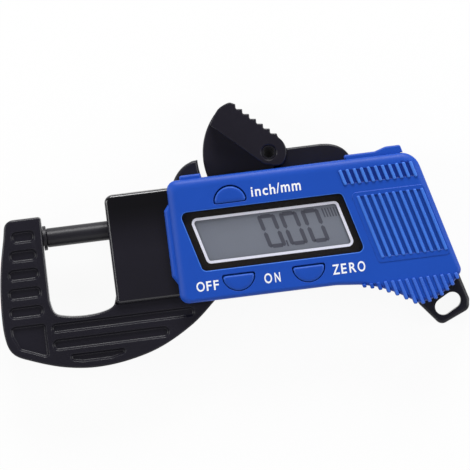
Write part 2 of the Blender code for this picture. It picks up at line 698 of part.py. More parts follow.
def return_spring():
    """A coil between the bottom of the carriage's bore and the collar of its pin."""
    start = CARRIAGE_RIGHT - SPRING_BORE_DEPTH + GAP + SPRING_WIRE_R
    end = COLLAR_X - GAP - SPRING_WIRE_R
    steps = SPRING_TURNS * SPRING_TURN_STEPS
    bm = bmesh.new()
    loops = []
    for i in range(steps + 1):
        t = i / steps
        angle = 2 * math.pi * SPRING_TURNS * t
        out = Vector((0.0, math.cos(angle), math.sin(angle)))
        centre = Vector((start + (end - start) * t, 0.0, SPINDLE_Z)) + out * SPRING_R
        ring = []
        for k in range(SPRING_SIDES):
            around = 2 * math.pi * k / SPRING_SIDES
            offset = out * math.cos(around) + Vector((math.sin(around), 0.0, 0.0))
            ring.append(bm.verts.new(centre + offset * SPRING_WIRE_R))
        loops.append(ring)
    for low, high in zip(loops, loops[1:]):
        for k in range(SPRING_SIDES):
            j = (k + 1) % SPRING_SIDES
            bm.faces.new((low[k], low[j], high[j], high[k]))
    bm.faces.new(reversed(loops[0]))
    bm.faces.new(loops[-1])
    bmesh.ops.recalc_face_normals(bm, faces=bm.faces)
    finish("return_spring", bm, "steel")


def pad_points():
    """The pad's outline about the pivot with the lever pressed, when the pad lies level."""
    teeth = []
    for i in range(TOOTH_COUNT):
        x = FIRST_TOOTH + TOOTH_PITCH * (TOOTH_COUNT - 1 - i)
        teeth += [(x + 0.12, PAD_RISE), (x - 0.2, PAD_RISE - 0.08),
                  (x - TOOTH_PITCH / 2, PAD_RISE - TOOTH_HEIGHT)]
    teeth.pop()
    tip = spline([(FIRST_TOOTH - 0.6, PAD_RISE - 0.1), (PAD_TIP + 1.1, PAD_RISE - 0.6), (PAD_TIP + 0.1, 2.0),
                  (PAD_TIP, 0.2), (PAD_TIP + 0.5, -PAD_DROP)])
    low_end = arc((0, 0), BOSS_LOW_R, -128, -14, 10)
    high_end = arc((0, 0), BOSS_R, -8, 80, 10)
    return low_end + high_end + [(-0.3, PAD_RISE - 0.45)] + teeth + tip


def web_points():
    """The thin sector behind the pad, and the forked finger that drives the carriage, at rest."""
    reach = math.atan2(-DRIVE_RADIUS, DRIVE_PIN_X - PIVOT[0])
    along = Vector((math.cos(reach), math.sin(reach)))
    across = Vector((-along.y, along.x))
    slot = DRIVE_PIN_R + FORK_CLEARANCE
    half = slot + FORK_PRONG
    slot_root = DRIVE_RADIUS - slot
    tip = math.hypot(DRIVE_RADIUS, TRAVEL / 2) + DRIVE_PIN_R + FORK_OVERLAP
    marks = [(9.0, -half), (tip, -half), (tip, -slot), (slot_root, -slot), (slot_root, slot),
             (tip, slot), (tip, half), (5.5, half - 0.6)]
    finger = [tuple(along * r + across * w) for r, w in marks]
    sector = arc((0, 0), WEB_R, 138, 203, 16)
    boss = arc((0, 0), BOSS_LOW_R, -50, 137, 10)
    return sector + finger + boss


def thumb_lever():
    bm = bmesh.new()
    add_prism(bm, turned_by(pad_points(), -LEVER_SWING, PIVOT), WEB_BACK, PAD_FRONT)
    lever = finish("thumb_lever", bm, "black_plastic", (PIVOT[0], PIVOT[1], WEB_BACK))
    bm = bmesh.new()
    add_prism(bm, turned_by(web_points(), 0.0, PIVOT), WEB_BACK, WEB_FRONT)
    combine(lever, "lever_web", bm, "UNION")
    bm = bmesh.new()
    add_turned(bm, [(0.0, 0.0), (PIVOT_R + RUNNING, 0.0), (PIVOT_R + RUNNING, COUNTERBORE_Z),
                    (COUNTERBORE_R, COUNTERBORE_Z), (COUNTERBORE_R, COVER_TOP), (0.0, COVER_TOP)],
               (PIVOT[0], PIVOT[1], 0.0))
    combine(lever, "lever_bore", bm)


def lever_pivot_screw():
    """A shouldered screw: the thread goes into the rear shell's lug and the lever turns on its shoulder."""
    shoulder = REAR_FLOOR + SEAT
    head = COUNTERBORE_Z + SEAT
    top = COUNTERBORE_Z + PIVOT_HEAD_HEIGHT
    bm = bmesh.new()
    add_turned(bm, [(0.0, 0.4), (SCREW_R, 0.4), (SCREW_R, shoulder), (PIVOT_R, shoulder), (PIVOT_R, head),
                    (COUNTERBORE_R - SEAT, head), (COUNTERBORE_R - SEAT, top), (DRIVER_R, top),
                    (DRIVER_R, top - DRIVER_DEPTH), (0.0, top - DRIVER_DEPTH)], (PIVOT[0], PIVOT[1], 0.0))
    finish("lever_pivot_screw", bm, "black_steel")


def lanyard_loop_points():
    return outline(from_lanyard_corner([(-12.5, -4.3, 0.0), (-11.1, -7.2, 0.0), (-6.6, -12.8, 1.8),
                                        (0.3, -9.9, 2.0), (1.1, -6.6, 1.5), (-0.9, -0.3, 0.0)]))


def lanyard_slot_points():
    half = (LANYARD_SLOT_LENGTH - LANYARD_SLOT_WIDTH) / 2
    right = arc((half, 0.0), LANYARD_SLOT_WIDTH / 2, -90, 90, 8)
    left = arc((-half, 0.0), LANYARD_SLOT_WIDTH / 2, 90, 270, 8)
    return turned_by(right + left, LANYARD_SLOT_ANGLE, LANYARD_SLOT_CENTRE)


def bump_corners():
    """The hump left of the lever, hollowed along the arc on which the lever's web turns."""
    start = 180 + math.degrees(math.asin((PIVOT[1] - HUMP_FOOT) / BUMP_R))
    return ([(-BUMP_R - 7.3, HUMP_FOOT, 0.0)] + sharp(arc(PIVOT, BUMP_R, start, 180.5, 6))
            + [(-BUMP_R - 2.5, HUMP_TOP - 0.25, 2.4), (-BUMP_R - 5.7, HOUSING_TOP + 0.5, 0.6)])


def hump_corners():
    """The hump right of the lever, its stop at rest."""
    return [(HUMP_LEFT, HUMP_FOOT, 0.0), (HUMP_RIGHT, HUMP_FOOT, 0.0), (HUMP_RIGHT, HOUSING_TOP + 0.7, 0.5),
            (HUMP_RIGHT - 1.6, HUMP_TOP - 1.0, 2.0), (HUMP_RIGHT - 4.8, HUMP_TOP, 2.5),
            (HUMP_LEFT, HUMP_TOP, 0.3)]


def rear_shell():
    corners = housing_corners(HOUSING_LEFT - REAR_MARGIN, REAR_CORNER)
    bm = bmesh.new()
    side = outline(corners, -REAR_INSET)
    add_loft(bm, [(outline(corners, -REAR_INSET - EDGE_CHAMFER), 0.0), (side, EDGE_CHAMFER), (side, REAR_TOP)])
    shell = finish("rear_shell", bm, "black_plastic")
    bm = bmesh.new()
    for hump in (bump_corners(), hump_corners()):
        side = outline(hump)
        add_loft(bm, [(outline(hump, -EDGE_CHAMFER), 0.0), (side, EDGE_CHAMFER), (side, REAR_TOP)])
    combine(shell, "rear_humps", bm, "UNION", "MANIFOLD")
    bm = bmesh.new()
    add_prism(bm, [(PIVOT[0] - BOSS_LOW_R, HUMP_FOOT), (LUG_REACH, HUMP_FOOT), (LUG_REACH, PIVOT[1] - 0.2)]
              + arc(PIVOT, BOSS_LOW_R, 0, 180, 14), 0.0, REAR_FLOOR)
    combine(shell, "rear_lug", bm, "UNION")
    bm = bmesh.new()
    add_prism(bm, lanyard_loop_points(), 0.0, LOOP_THICKNESS)
    combine(shell, "rear_loop", bm, "UNION")

    bm = bmesh.new()
    add_prism(bm, outline(corners, -REAR_INSET - WALL), REAR_FLOOR, COVER_TOP)
    combine(shell, "rear_cavity", bm)
    bm = bmesh.new()
    for x, y in HOUSING_SCREWS[2:]:
        add_rod(bm, SCREW_R + BOSS_WALL, (x, y, REAR_FLOOR / 2), REAR_TOP - REAR_FLOOR / 2,
                segments=SMALL_SEGMENTS)
    add_box(bm, (POST_LEFT, ROD_Y - ROD_R - 1.2, REAR_FLOOR / 2),
            (POST_LEFT + POST_THICKNESS, POST_EDGE, POST_TOP))
    combine(shell, "rear_bosses", bm, "UNION")

    left = HOUSING_LEFT - REAR_MARGIN - OVER
    bm = bmesh.new()
    add_box(bm, (left, GUIDE_BOTTOM - GAP, REAR_FLOOR), (FRAME_END + GAP, GUIDE_TOP + GAP, COVER_TOP))
    combine(shell, "rear_guide_opening", bm)
    bm = bmesh.new()
    add_box(bm, (left, HOUSING_BOTTOM - OVER, FRAME_BACK - GAP),
            (FRAME_END + 0.8, GUIDE_BOTTOM + 0.5, COVER_TOP))
    combine(shell, "rear_bow_opening", bm)
    bm = bmesh.new()
    add_box(bm, (0.4 - BUMP_R, HUMP_FOOT - OVER, REAR_FLOOR), (HUMP_LEFT, HUMP_TOP + OVER, COVER_TOP))
    combine(shell, "rear_lever_opening", bm)
    bm = bmesh.new()
    add_box(bm, (HUMP_LEFT - OVER, HUMP_FOOT - OVER, REAR_FLOOR),
            (LUG_REACH + OVER, HOUSING_TOP + 0.9, WEB_FRONT + GAP))
    combine(shell, "rear_fork_opening", bm)
    bm = bmesh.new()
    add_prism(bm, lanyard_slot_points(), -OVER, LOOP_THICKNESS + OVER)
    for x, y in HOUSING_SCREWS:
        add_turned(bm, [(0.0, -OVER), (SCREW_HEAD_R + GAP, -OVER), (SCREW_HEAD_R + GAP, HEAD_RECESS),
                        (SCREW_R + GAP, HEAD_RECESS), (SCREW_R + GAP, COVER_TOP), (0.0, COVER_TOP)], (x, y, 0.0),
                   segments=SMALL_SEGMENTS)
    add_rod(bm, SCREW_R + SEAT, (PIVOT[0], PIVOT[1], -OVER), REAR_FLOOR + 2 * OVER)
    combine(shell, "rear_holes", bm)
    through = POST_THICKNESS + 2 * OVER
    bm = bmesh.new()
    add_rod(bm, GUIDE_PIN_R + SEAT, (POST_LEFT - OVER, 0.0, SPINDLE_Z), through, "X", SMALL_SEGMENTS)
    add_rod(bm, ROD_R + SEAT, (POST_LEFT - OVER, ROD_Y, SPINDLE_Z), through, "X", SMALL_SEGMENTS)
    combine(shell, "rear_post_holes", bm, solver="MANIFOLD")


def rib_group(bm, first_x, top, bottom_of, low=COVER_TOP - RIB_ROOT, side=HOUSING_RIGHT - RIB_MARGIN):
    """Parallel ribs that lean as the housing does, as many as fit before its right side."""
    count = int((side - SLANT * top - first_x) / RIB_PITCH) + 1
    half = RIB_WIDTH / 2
    for i in range(count):
        x = first_x + RIB_PITCH * i
        bottom = bottom_of(x)
        foot = x + SLANT * (top - bottom)
        points = [(foot - half, bottom), (foot + half, bottom), (x + half, top), (x - half, top)]
        crest = [(foot - half * 0.6, bottom + 0.1), (foot + half * 0.6, bottom + 0.1),
                 (x + half * 0.6, top - 0.1), (x - half * 0.6, top - 0.1)]
        add_loft(bm, [(points, low), (points, COVER_TOP + RIB_RISE * 0.4), (crest, COVER_TOP + RIB_RISE)])


def lower_rib_end(x):
    """Where a rib of the lowest group ends, just past the housing's lower edge."""
    edge = [(edge_x, edge_y - LOWER_RIB_REACH) for edge_x, edge_y, _ in lower_edge()]
    y = LOWER_RIB_TOP
    for _ in range(4):
        across = x - SLANT * (y - LOWER_RIB_TOP)
        y = next((y0 + (y1 - y0) * (across - x0) / (x1 - x0) for (x0, y0), (x1, y1) in zip(edge, edge[1:])
                  if x0 <= across <= x1), edge[-1][1])
    return y


def half_moon(button, grow=0.0):
    """A button's outline: a flat side and an arc, counter-clockwise."""
    x, y, way = button
    points = outline(sharp(arc((x, y), BUTTON_R, 0, 180, 14)), grow)
    if way < 0:
        points = [(px, 2 * y - py) for px, py in reversed(points)]
    return points


def window_corners():
    return slanted(WINDOW_LEFT, WINDOW_BOTTOM, WINDOW_RIGHT, WINDOW_TOP, WINDOW_CORNER)


def lcd_corners():
    return slanted(LCD_LEFT, LCD_BOTTOM, LCD_RIGHT, LCD_TOP, LCD_CORNER)


def cover_shell():
    """The cover's outer form, its top edge rounded off in two steps."""
    corners = housing_corners()
    fall = EDGE_RADIUS * (1 - math.sqrt(0.5))
    bm = bmesh.new()
    add_loft(bm, [(outline(corners), COVER_BOTTOM), (outline(corners), COVER_TOP - EDGE_RADIUS),
                  (outline(corners, -fall), COVER_TOP - fall), (outline(corners, -EDGE_RADIUS), COVER_TOP)])
    return finish("front_cover", bm, "blue_plastic")


def front_cover():
    cover = cover_shell()
    bm = bmesh.new()
    inner = HOUSING_LEFT + 0.6
    outer = HOUSING_LEFT - BULGE
    add_prism(bm, outline([(inner, -15.0, 0.0), (inner, 4.7, 0.0), (outer, 3.0, 0.5), (outer, -12.8, 0.5)]),
              BULGE_BACK, FACE_BOTTOM + 0.3)
    add_box(bm, (LEDGE_LEFT, HOUSING_TOP - 0.8, COVER_BOTTOM + 0.4),
            (LEDGE_LEFT + LEDGE_WIDTH, HOUSING_TOP + LEDGE_RISE, FACE_BOTTOM))
    combine(cover, "cover_ledges", bm, "UNION")
    bm = bmesh.new()
    add_prism(bm, outline(slanted(MAIN_RIB_X - 1.3, MAIN_RIB_BOTTOM - PANEL_MARGIN, HOUSING_RIGHT - EDGE_RADIUS,
                                  MAIN_RIB_TOP + PANEL_MARGIN, PANEL_CORNER)),
              COVER_TOP - RIB_ROOT - SEAT, COVER_TOP + PANEL_RISE)
    combine(cover, "cover_panel", bm, "UNION")
    bm = bmesh.new()
    rib_group(bm, UPPER_RIB_X, UPPER_RIB_TOP, lambda x: UPPER_RIB_BOTTOM)
    rib_group(bm, MAIN_RIB_X, MAIN_RIB_TOP, lambda x: MAIN_RIB_BOTTOM)
    rib_group(bm, LOWER_RIB_X, LOWER_RIB_TOP, lower_rib_end, COVER_BOTTOM + GAP)
    combine(cover, "cover_ribs", bm, "UNION")

    bm = bmesh.new()
    add_prism(bm, outline(housing_corners(), -WALL), 0.0, FACE_BOTTOM)
    combine(cover, "cover_cavity", bm)
    boss_top = FACE_BOTTOM + 0.4
    bm = bmesh.new()
    for i, (x, y) in enumerate(HOUSING_SCREWS):
        low = FRAME_FRONT + GAP if i < 2 else COVER_BOTTOM
        add_rod(bm, SCREW_R + BOSS_WALL, (x, y, low), boss_top - low, segments=SMALL_SEGMENTS)
    for x, y in BOARD_SCREWS:
        low = BOARD_FRONT + GAP
        add_rod(bm, BOARD_SCREW_R + BOSS_WALL, (x, y, low), boss_top - low, segments=SMALL_SEGMENTS)
    combine(cover, "cover_bosses", bm, "UNION")

    buttons_here = (UNIT_BUTTON, POWER_BUTTON, ZERO_BUTTON)
    bm = bmesh.new()
    add_prism(bm, outline(window_corners()), FACE_BOTTOM - OVER, COVER_TOP + OVER)
    for button in buttons_here:
        add_prism(bm, half_moon(button, BUTTON_CLEARANCE), FACE_BOTTOM - OVER, COVER_TOP + OVER)
    combine(cover, "cover_windows", bm)
    bm = bmesh.new()
    for button in buttons_here:
        add_prism(bm, half_moon(button, BUTTON_FLANGE + GAP), FACE_BOTTOM - 1.5, FACE_BOTTOM)
    combine(cover, "cover_button_reliefs", bm)
    left = HOUSING_LEFT - BULGE - OVER
    bm = bmesh.new()
    add_box(bm, (left, GUIDE_BOTTOM - GAP, 0.0), (GUIDE_END + GAP, GUIDE_TOP + GAP, BOX_FRONT + GAP))
    combine(cover, "cover_guide_opening", bm)
    bm = bmesh.new()
    add_box(bm, (left, HOUSING_BOTTOM - OVER, 0.0), (FRAME_END + 0.8, GUIDE_BOTTOM + 0.5, FRAME_FRONT + GAP))
    combine(cover, "cover_bow_opening", bm)
    bm = bmesh.new()
    half = TRAY_HALF + GAP / 2
    add_box(bm, (CELL_CENTRE[0] - half, HOUSING_TOP - WALL - 0.7, 0.0),
            (CELL_CENTRE[0] + half, HOUSING_TOP + OVER, TRAY_FRONT + SEAT))
    combine(cover, "cover_battery_opening", bm)
    bm = bmesh.new()
    for x, y in HOUSING_SCREWS:
        add_rod(bm, SCREW_R + SEAT, (x, y, 0.0), FACE_BOTTOM - GAP, segments=SMALL_SEGMENTS)
    for x, y in BOARD_SCREWS:
        add_rod(bm, BOARD_SCREW_R + SEAT, (x, y, 0.0), FACE_BOTTOM - GAP, segments=SMALL_SEGMENTS)
    combine(cover, "cover_screw_holes", bm)


def housing_screws():
    """Screws with a socket in the head, which go in from the back."""
    head = HEAD_RECESS - SEAT
    back = head - SCREW_HEAD_HEIGHT + LAYER_GAP
    socket = back + SOCKET_DEPTH
    tip = FACE_BOTTOM - 3 * GAP
    for i, (x, y) in enumerate(HOUSING_SCREWS):
        bm = bmesh.new()
        add_turned(bm, [(0.0, socket), (SOCKET_R, socket), (SOCKET_R, back), (SCREW_HEAD_R, back),
                        (SCREW_HEAD_R, head), (SCREW_R, head), (SCREW_R, tip), (0.0, tip)], (x, y, 0.0),
                   segments=SMALL_SEGMENTS)
        finish(f"housing_screw_{i + 1}", bm, "steel")


def board_screws():
    head = BOARD_BACK - SEAT
    back = head - BOARD_HEAD_HEIGHT
    tip = FACE_BOTTOM - 2 * GAP
    for i, (x, y) in enumerate(BOARD_SCREWS):
        bm = bmesh.new()
        add_turned(bm, [(0.0, back), (BOARD_HEAD_R, back), (BOARD_HEAD_R, head), (BOARD_SCREW_R, head),
                        (BOARD_SCREW_R, tip), (0.0, tip)], (x, y, 0.0), segments=SMALL_SEGMENTS)
        finish(f"board_screw_{i + 1}", bm, "steel")


def display():
    """The window in the cover, the bordered mask behind it, the glass in its holder and the contact strips."""
    bm = bmesh.new()
    add_prism(bm, outline(window_corners(), -0.15), FACE_BOTTOM + LAYER_GAP, COVER_TOP - WINDOW_RECESS)
    finish("display_window", bm, "clear_plastic")
    mask_front = FACE_BOTTOM - LAYER_GAP
    mask_back = mask_front - MASK_THICKNESS
    bm = bmesh.new()
    add_prism(bm, outline(window_corners(), 0.5), mask_back, mask_front)
    mask = finish("display_mask", bm, "black_plastic")
    bm = bmesh.new()
    add_prism(bm, outline(lcd_corners(), -LCD_BORDER), mask_back - OVER, mask_front + OVER)
    combine(mask, "mask_opening", bm)
    glass_front = mask_back - 0.2
    glass_back = glass_front - GLASS_THICKNESS
    bm = bmesh.new()
    add_prism(bm, outline(lcd_corners(), 0.6), glass_back, glass_front)
    finish("lcd_glass", bm, "lcd_grey")
    bm = bmesh.new()
    add_prism(bm, outline(window_corners(), 0.25), BOARD_FRONT + SEAT, mask_back - SEAT)
    holder = finish("lcd_frame", bm, "white_plastic")
    bm = bmesh.new()
    add_prism(bm, outline(lcd_corners(), 0.75), 0.0, COVER_TOP)
    combine(holder, "lcd_frame_opening", bm)
    for name, y in (("zebra_strip_upper", LCD_TOP - 1.35), ("zebra_strip_lower", LCD_BOTTOM + 1.1)):
        low = BOARD_FRONT + LAYER_GAP
        bm = bmesh.new()
        add_box(bm, (LCD_LEFT + 5.6, y - ZEBRA_HALF, low),
                (LCD_RIGHT - 2.15, y + ZEBRA_HALF, low + ZEBRA_HEIGHT))
        finish(name, bm, "rubber")


def main_board():
    left = FRAME_END + 0.6
    right = HOUSING_SCREWS[2][0] - 1.9
    bottom = HOUSING_BOTTOM + WALL + 0.6
    top = BLOCK_TOP - SEAT
    shelf = TRAY_END - CONTACT_FOOT
    tray_left = CELL_CENTRE[0] - TRAY_HALF - GAP - 0.5
    bm = bmesh.new()
    add_prism(bm, outline([(left, bottom, 0.5), (right, bottom, 1.0), (right, shelf, 0.5),
                           (tray_left, shelf, 0.0), (tray_left, top, 0.5), (left, top, 0.5)]),
              BOARD_BACK, BOARD_FRONT)
    board = finish("main_board", bm, "board_green")
    bm = bmesh.new()
    for x, y in BOARD_SCREWS:
        add_rod(bm, BOARD_SCREW_R + SEAT, (x, y, 0.0), COVER_TOP, segments=SMALL_SEGMENTS)
    combine(board, "board_holes", bm)
    bm = bmesh.new()
    low = BOARD_FRONT + LAYER_GAP
    add_box(bm, (CHIP[0], CHIP[1], low), (CHIP[2], CHIP[3], low + CHIP_HEIGHT))
    finish("controller_chip", bm, "rubber")


def buttons():
    """Each button: a half-moon cap, a flange that holds it in, and a stem over its dome switch on the board."""
    flange_back = FACE_BOTTOM - GAP - FLANGE_THICKNESS
    stem_end = BOARD_FRONT + DOME_HEIGHT + BUTTON_TRAVEL + SEAT
    top = COVER_TOP + BUTTON_PROUD
    for name, switch, button in (("unit_button", "unit_switch", UNIT_BUTTON),
                                 ("power_button", "power_switch", POWER_BUTTON),
                                 ("zero_button", "zero_switch", ZERO_BUTTON)):
        x = button[0]
        y = button[1] + button[2] * BUTTON_R * 0.45
        bm = bmesh.new()
        add_loft(bm, [(half_moon(button), FACE_BOTTOM - 2 * GAP), (half_moon(button), top - 0.3),
                      (half_moon(button, -0.35), top)])
        cap = finish(name, bm, "blue_plastic", (x, y, COVER_TOP))
        bm = bmesh.new()
        add_prism(bm, half_moon(button, BUTTON_FLANGE), flange_back, FACE_BOTTOM - GAP)
        combine(cap, name + "_flange", bm, "UNION")
        bm = bmesh.new()
        add_rod(bm, STEM_R, (x, y, stem_end), FACE_BOTTOM - 2 * GAP - stem_end, segments=SMALL_SEGMENTS)
        combine(cap, name + "_stem", bm, "UNION")
        bm = bmesh.new()
        add_turned(bm, [(0.0, LAYER_GAP), (DOME_R, LAYER_GAP), (DOME_R, GAP), (STEM_R, DOME_HEIGHT),
                        (0.0, DOME_HEIGHT)], (x, y, BOARD_FRONT), segments=SMALL_SEGMENTS)
        finish(switch, bm, "steel")


def battery():
    """The tray that slides out at the top with the cell in it."""
    x, y = CELL_CENTRE
    cap_back = HOUSING_TOP + SEAT
    cap_left = x - TRAY_HALF - 0.4
    cap_right = x + TRAY_HALF + 0.6
    step = cap_back + CAP_STEP - SEAT
    front = cap_back + CAP_RISE - SEAT
    floor = TRAY_BACK + TRAY_FLOOR
    bm = bmesh.new()
    add_prism(bm, rectangle(x - TRAY_HALF, TRAY_END, x + TRAY_HALF, cap_back + 0.4),
              TRAY_BACK, TRAY_FRONT)
    tray = finish("battery_tray", bm, "blue_plastic", (x, HOUSING_TOP, TRAY_BACK))
    bm = bmesh.new()
    add_prism(bm, outline([(cap_left, cap_back, 0.0), (cap_right, cap_back, 0.0),
                           (cap_right - 0.45, front, 0.4), (x + 3.2, front, 0.5), (x + 0.5, step, 0.5),
                           (cap_left, step, 0.4)]),
              TRAY_BACK, TRAY_FRONT)
    combine(tray, "tray_cap", bm, "UNION")
    bm = bmesh.new()
    add_rod(bm, CELL_R + SEAT, (x, y, floor), COVER_TOP, segments=SHAFT_SEGMENTS)
    combine(tray, "tray_pocket", bm)
    bm = bmesh.new()
    slot = CONTACT_WIDTH / 2 + 0.7
    add_box(bm, (x - slot, TRAY_END - OVER, 0.0), (x + slot, y + 3.0, TRAY_BACK + OVER))
    combine(tray, "tray_slot", bm)
    bm = bmesh.new()
    add_turned(bm, [(0.0, 0.0), (CELL_R - 1.2, 0.0), (CELL_R - 0.9, 0.4), (CELL_R - 0.3, 0.4),
                    (CELL_R, 0.7), (CELL_R, CELL_HEIGHT - 0.2), (CELL_R - 0.2, CELL_HEIGHT),
                    (0.0, CELL_HEIGHT)],
               (x, y, floor + LAYER_GAP), segments=SEGMENTS)
    finish("button_cell", bm, "steel", (x, y, TRAY_BACK))


def strip(name, points, x):
    """A bent contact strip from its side profile in Y and Z."""
    bm = bmesh.new()
    add_prism(bm, points, x - CONTACT_WIDTH / 2, x + CONTACT_WIDTH / 2)
    turn = Matrix(((0, 0, 1, 0), (1, 0, 0, 0), (0, 1, 0, 0), (0, 0, 0, 1)))
    bmesh.ops.transform(bm, matrix=turn, verts=bm.verts)
    finish(name, bm, "brass")


def battery_contacts():
    """One strip reaches the cell's side from the board's front, the other its back from the board's back."""
    x, y = CELL_CENTRE
    t = CONTACT_THICKNESS
    side = y - CELL_R - GAP
    foot = TRAY_END - CONTACT_FOOT
    front = BOARD_FRONT + LAYER_GAP
    low = TRAY_BACK + TRAY_FLOOR + 1.0
    strip("contact_positive", [(foot - 2.0, front), (side - t, front), (side - t, low), (side, low),
                               (side, front + t), (foot - 2.0, front + t)], x)
    leaf = TRAY_BACK + TRAY_FLOOR - GAP - t
    back = BOARD_BACK - LAYER_GAP
    bend = foot - 0.6
    strip("contact_negative", [(foot - 2.4, back - t), (bend, back - t), (bend, leaf), (y + 1.0, leaf),
                               (y + 1.0, leaf + t), (bend + t, leaf + t), (bend + t, back),
                               (foot - 2.4, back)], x)


def build():
    for old in list(bpy.data.objects):
        bpy.data.objects.remove(old)
    c_frame()
    guide_box_cover()
    bush("front_bush", FRONT_BUSH_X)
    bush("rear_bush", REAR_BUSH_X)
    anvil()
    spindle()
    carriage()
    carriage_fittings()
    guide_rod()
    spring_guide_pin()
    return_spring()
    thumb_lever()
    lever_pivot_screw()
    rear_shell()
    front_cover()
    housing_screws()
    board_screws()
    display()
    main_board()
    buttons()
    battery()
    battery_contacts()


build()
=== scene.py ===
"""Looks of the digital thickness gauge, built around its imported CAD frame.

Sizes below are in millimetres, in the frame of the CAD model, and become metres when a mesh is made.
"""

import math

import bmesh
import bpy
from mathutils import Matrix, Vector
from mathutils.geometry import tessellate_polygon


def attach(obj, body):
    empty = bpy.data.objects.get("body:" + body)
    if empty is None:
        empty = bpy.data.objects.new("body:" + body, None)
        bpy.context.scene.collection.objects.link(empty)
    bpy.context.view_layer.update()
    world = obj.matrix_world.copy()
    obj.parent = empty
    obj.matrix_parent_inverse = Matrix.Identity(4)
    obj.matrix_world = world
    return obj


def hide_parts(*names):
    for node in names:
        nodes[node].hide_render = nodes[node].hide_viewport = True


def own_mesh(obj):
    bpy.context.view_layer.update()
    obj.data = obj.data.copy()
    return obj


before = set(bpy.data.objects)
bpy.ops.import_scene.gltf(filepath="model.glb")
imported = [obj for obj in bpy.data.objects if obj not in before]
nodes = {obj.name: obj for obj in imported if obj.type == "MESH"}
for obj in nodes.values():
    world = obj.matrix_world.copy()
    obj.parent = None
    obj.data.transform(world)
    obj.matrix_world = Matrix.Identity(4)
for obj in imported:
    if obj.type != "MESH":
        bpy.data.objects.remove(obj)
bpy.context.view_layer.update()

MM = 0.001
ARC_STEPS = 7
ROUND_STEPS = 5
OVER = 1.0
GAP = 0.3
SEAT = 0.1

# Heights of the stack
REAR_FLOOR = 2.0
WEB_BACK, WEB_FRONT = 2.5, 5.0
PAD_FRONT = 13.0
SPINDLE_Z = 8.0
FRAME_BACK, FRAME_FRONT = 4.0, 12.0
BOX_BACK, BOX_FRONT = 2.3, 13.3
COVER_BOTTOM, REAR_TOP = 8.6, 8.3
BOARD_FRONT = 12.5
FACE_BOTTOM, COVER_TOP = 15.0, 16.5
TRAY_BACK, TRAY_FRONT = 8.75, 14.85

# Along the spindle
TRAVEL = 12.7
CARRIAGE_LEFT = -14.0
FRAME_END = -17.2
GUIDE_END = -23.6
GUIDE_LEFT = -40.65
ARM_FACE = -56.4
ARM_LEFT = -65.1
ANVIL_FACE = -55.5
POST_LEFT, POST_THICKNESS, POST_TOP, POST_EDGE = 15.6, 1.6, 10.3, 3.4
FRONT_BUSH_X, REAR_BUSH_X, BUSH_LENGTH, BUSH_R = -39.5, -28.9, 4.8, 3.1
SPINDLE_R = 2.3
TAIL_R = 1.8
ROD_R, ROD_Y, ROD_LEFT = 1.0, -8.5, -22.0

# Housing
WALL = 1.5
SLANT = 0.27
HOUSING_LEFT, HOUSING_RIGHT = -25.4, 37.2
HOUSING_TOP, HOUSING_BOTTOM = 9.9, -19.7
HOUSING_CORNER, RIGHT_CORNER = 2.2, 4.6
EDGE_ROUND, TOP_ROUND, ROUND_DROP = 1.0, 2.1, 1.25
LANYARD_CORNER = (HOUSING_RIGHT - SLANT * HOUSING_BOTTOM, HOUSING_BOTTOM)
HOUSING_SCREWS = ((-20.0, 5.5), (-20.0, -16.0), (33.9, -1.0), (37.0, -17.5))
BOARD_SCREWS = ((12.0, 5.6), (14.5, -16.0), (25.0, -10.0))
CELL_CENTRE = (24.7, 3.7)
CELL_R = 5.8
TRAY_HALF = 6.55

# Lever
PIVOT = (0.0, 13.9)
DRIVE_RADIUS = 16.4
LEVER_SWING = math.degrees(2 * math.atan(TRAVEL / 2 / DRIVE_RADIUS))
PAD_RISE, PAD_DROP, PAD_TIP = 4.72, 2.8, -15.9
TOOTH_PITCH, TOOTH_DEPTH, TOOTH_COUNT = 2.03, 0.85, 7
WEB_R, BUMP_R = 15.9, 17.3
BOSS_R, BOSS_LOW_R = 4.25, 2.95

UNIT_BUTTON = (-10.65, 3.2, 1)
POWER_BUTTON = (-10.85, -14.2, -1)
ZERO_BUTTON = (6.05, -14.2, -1)
BUTTON_R = 3.85
RING_SHIFT = 0.1
LETTER_WEIGHT, LETTER_SPACE = 0.016, 1.15


def arc(centre, radius, start, end, steps=12):
    points = []
    for i in range(steps + 1):
        angle = math.radians(start + (end - start) * i / steps)
        points.append((centre[0] + radius * math.cos(angle), centre[1] + radius * math.sin(angle)))
    return points


def spline(keys, steps=6):
    padded = [keys[0]] + list(keys) + [keys[-1]]
    points = []
    for i in range(len(keys) - 1):
        a, b, c, d = (Vector(p) for p in padded[i:i + 4])
        for k in range(steps):
            t = k / steps
            p = 0.5 * (2 * b + (c - a) * t + (2 * a - 5 * b + 4 * c - d) * t * t + (3 * b - a - 3 * c + d) * t ** 3)
            points.append((p.x, p.y))
    points.append(tuple(keys[-1]))
    return points


def turned_by(points, degrees, centre):
    angle = math.radians(degrees)
    c, s = math.cos(angle), math.sin(angle)
    return [(centre[0] + p[0] * c - p[1] * s, centre[1] + p[0] * s + p[1] * c, *p[2:]) for p in points]


def sharp(points):
    return [(x, y, 0.0) for x, y in points]


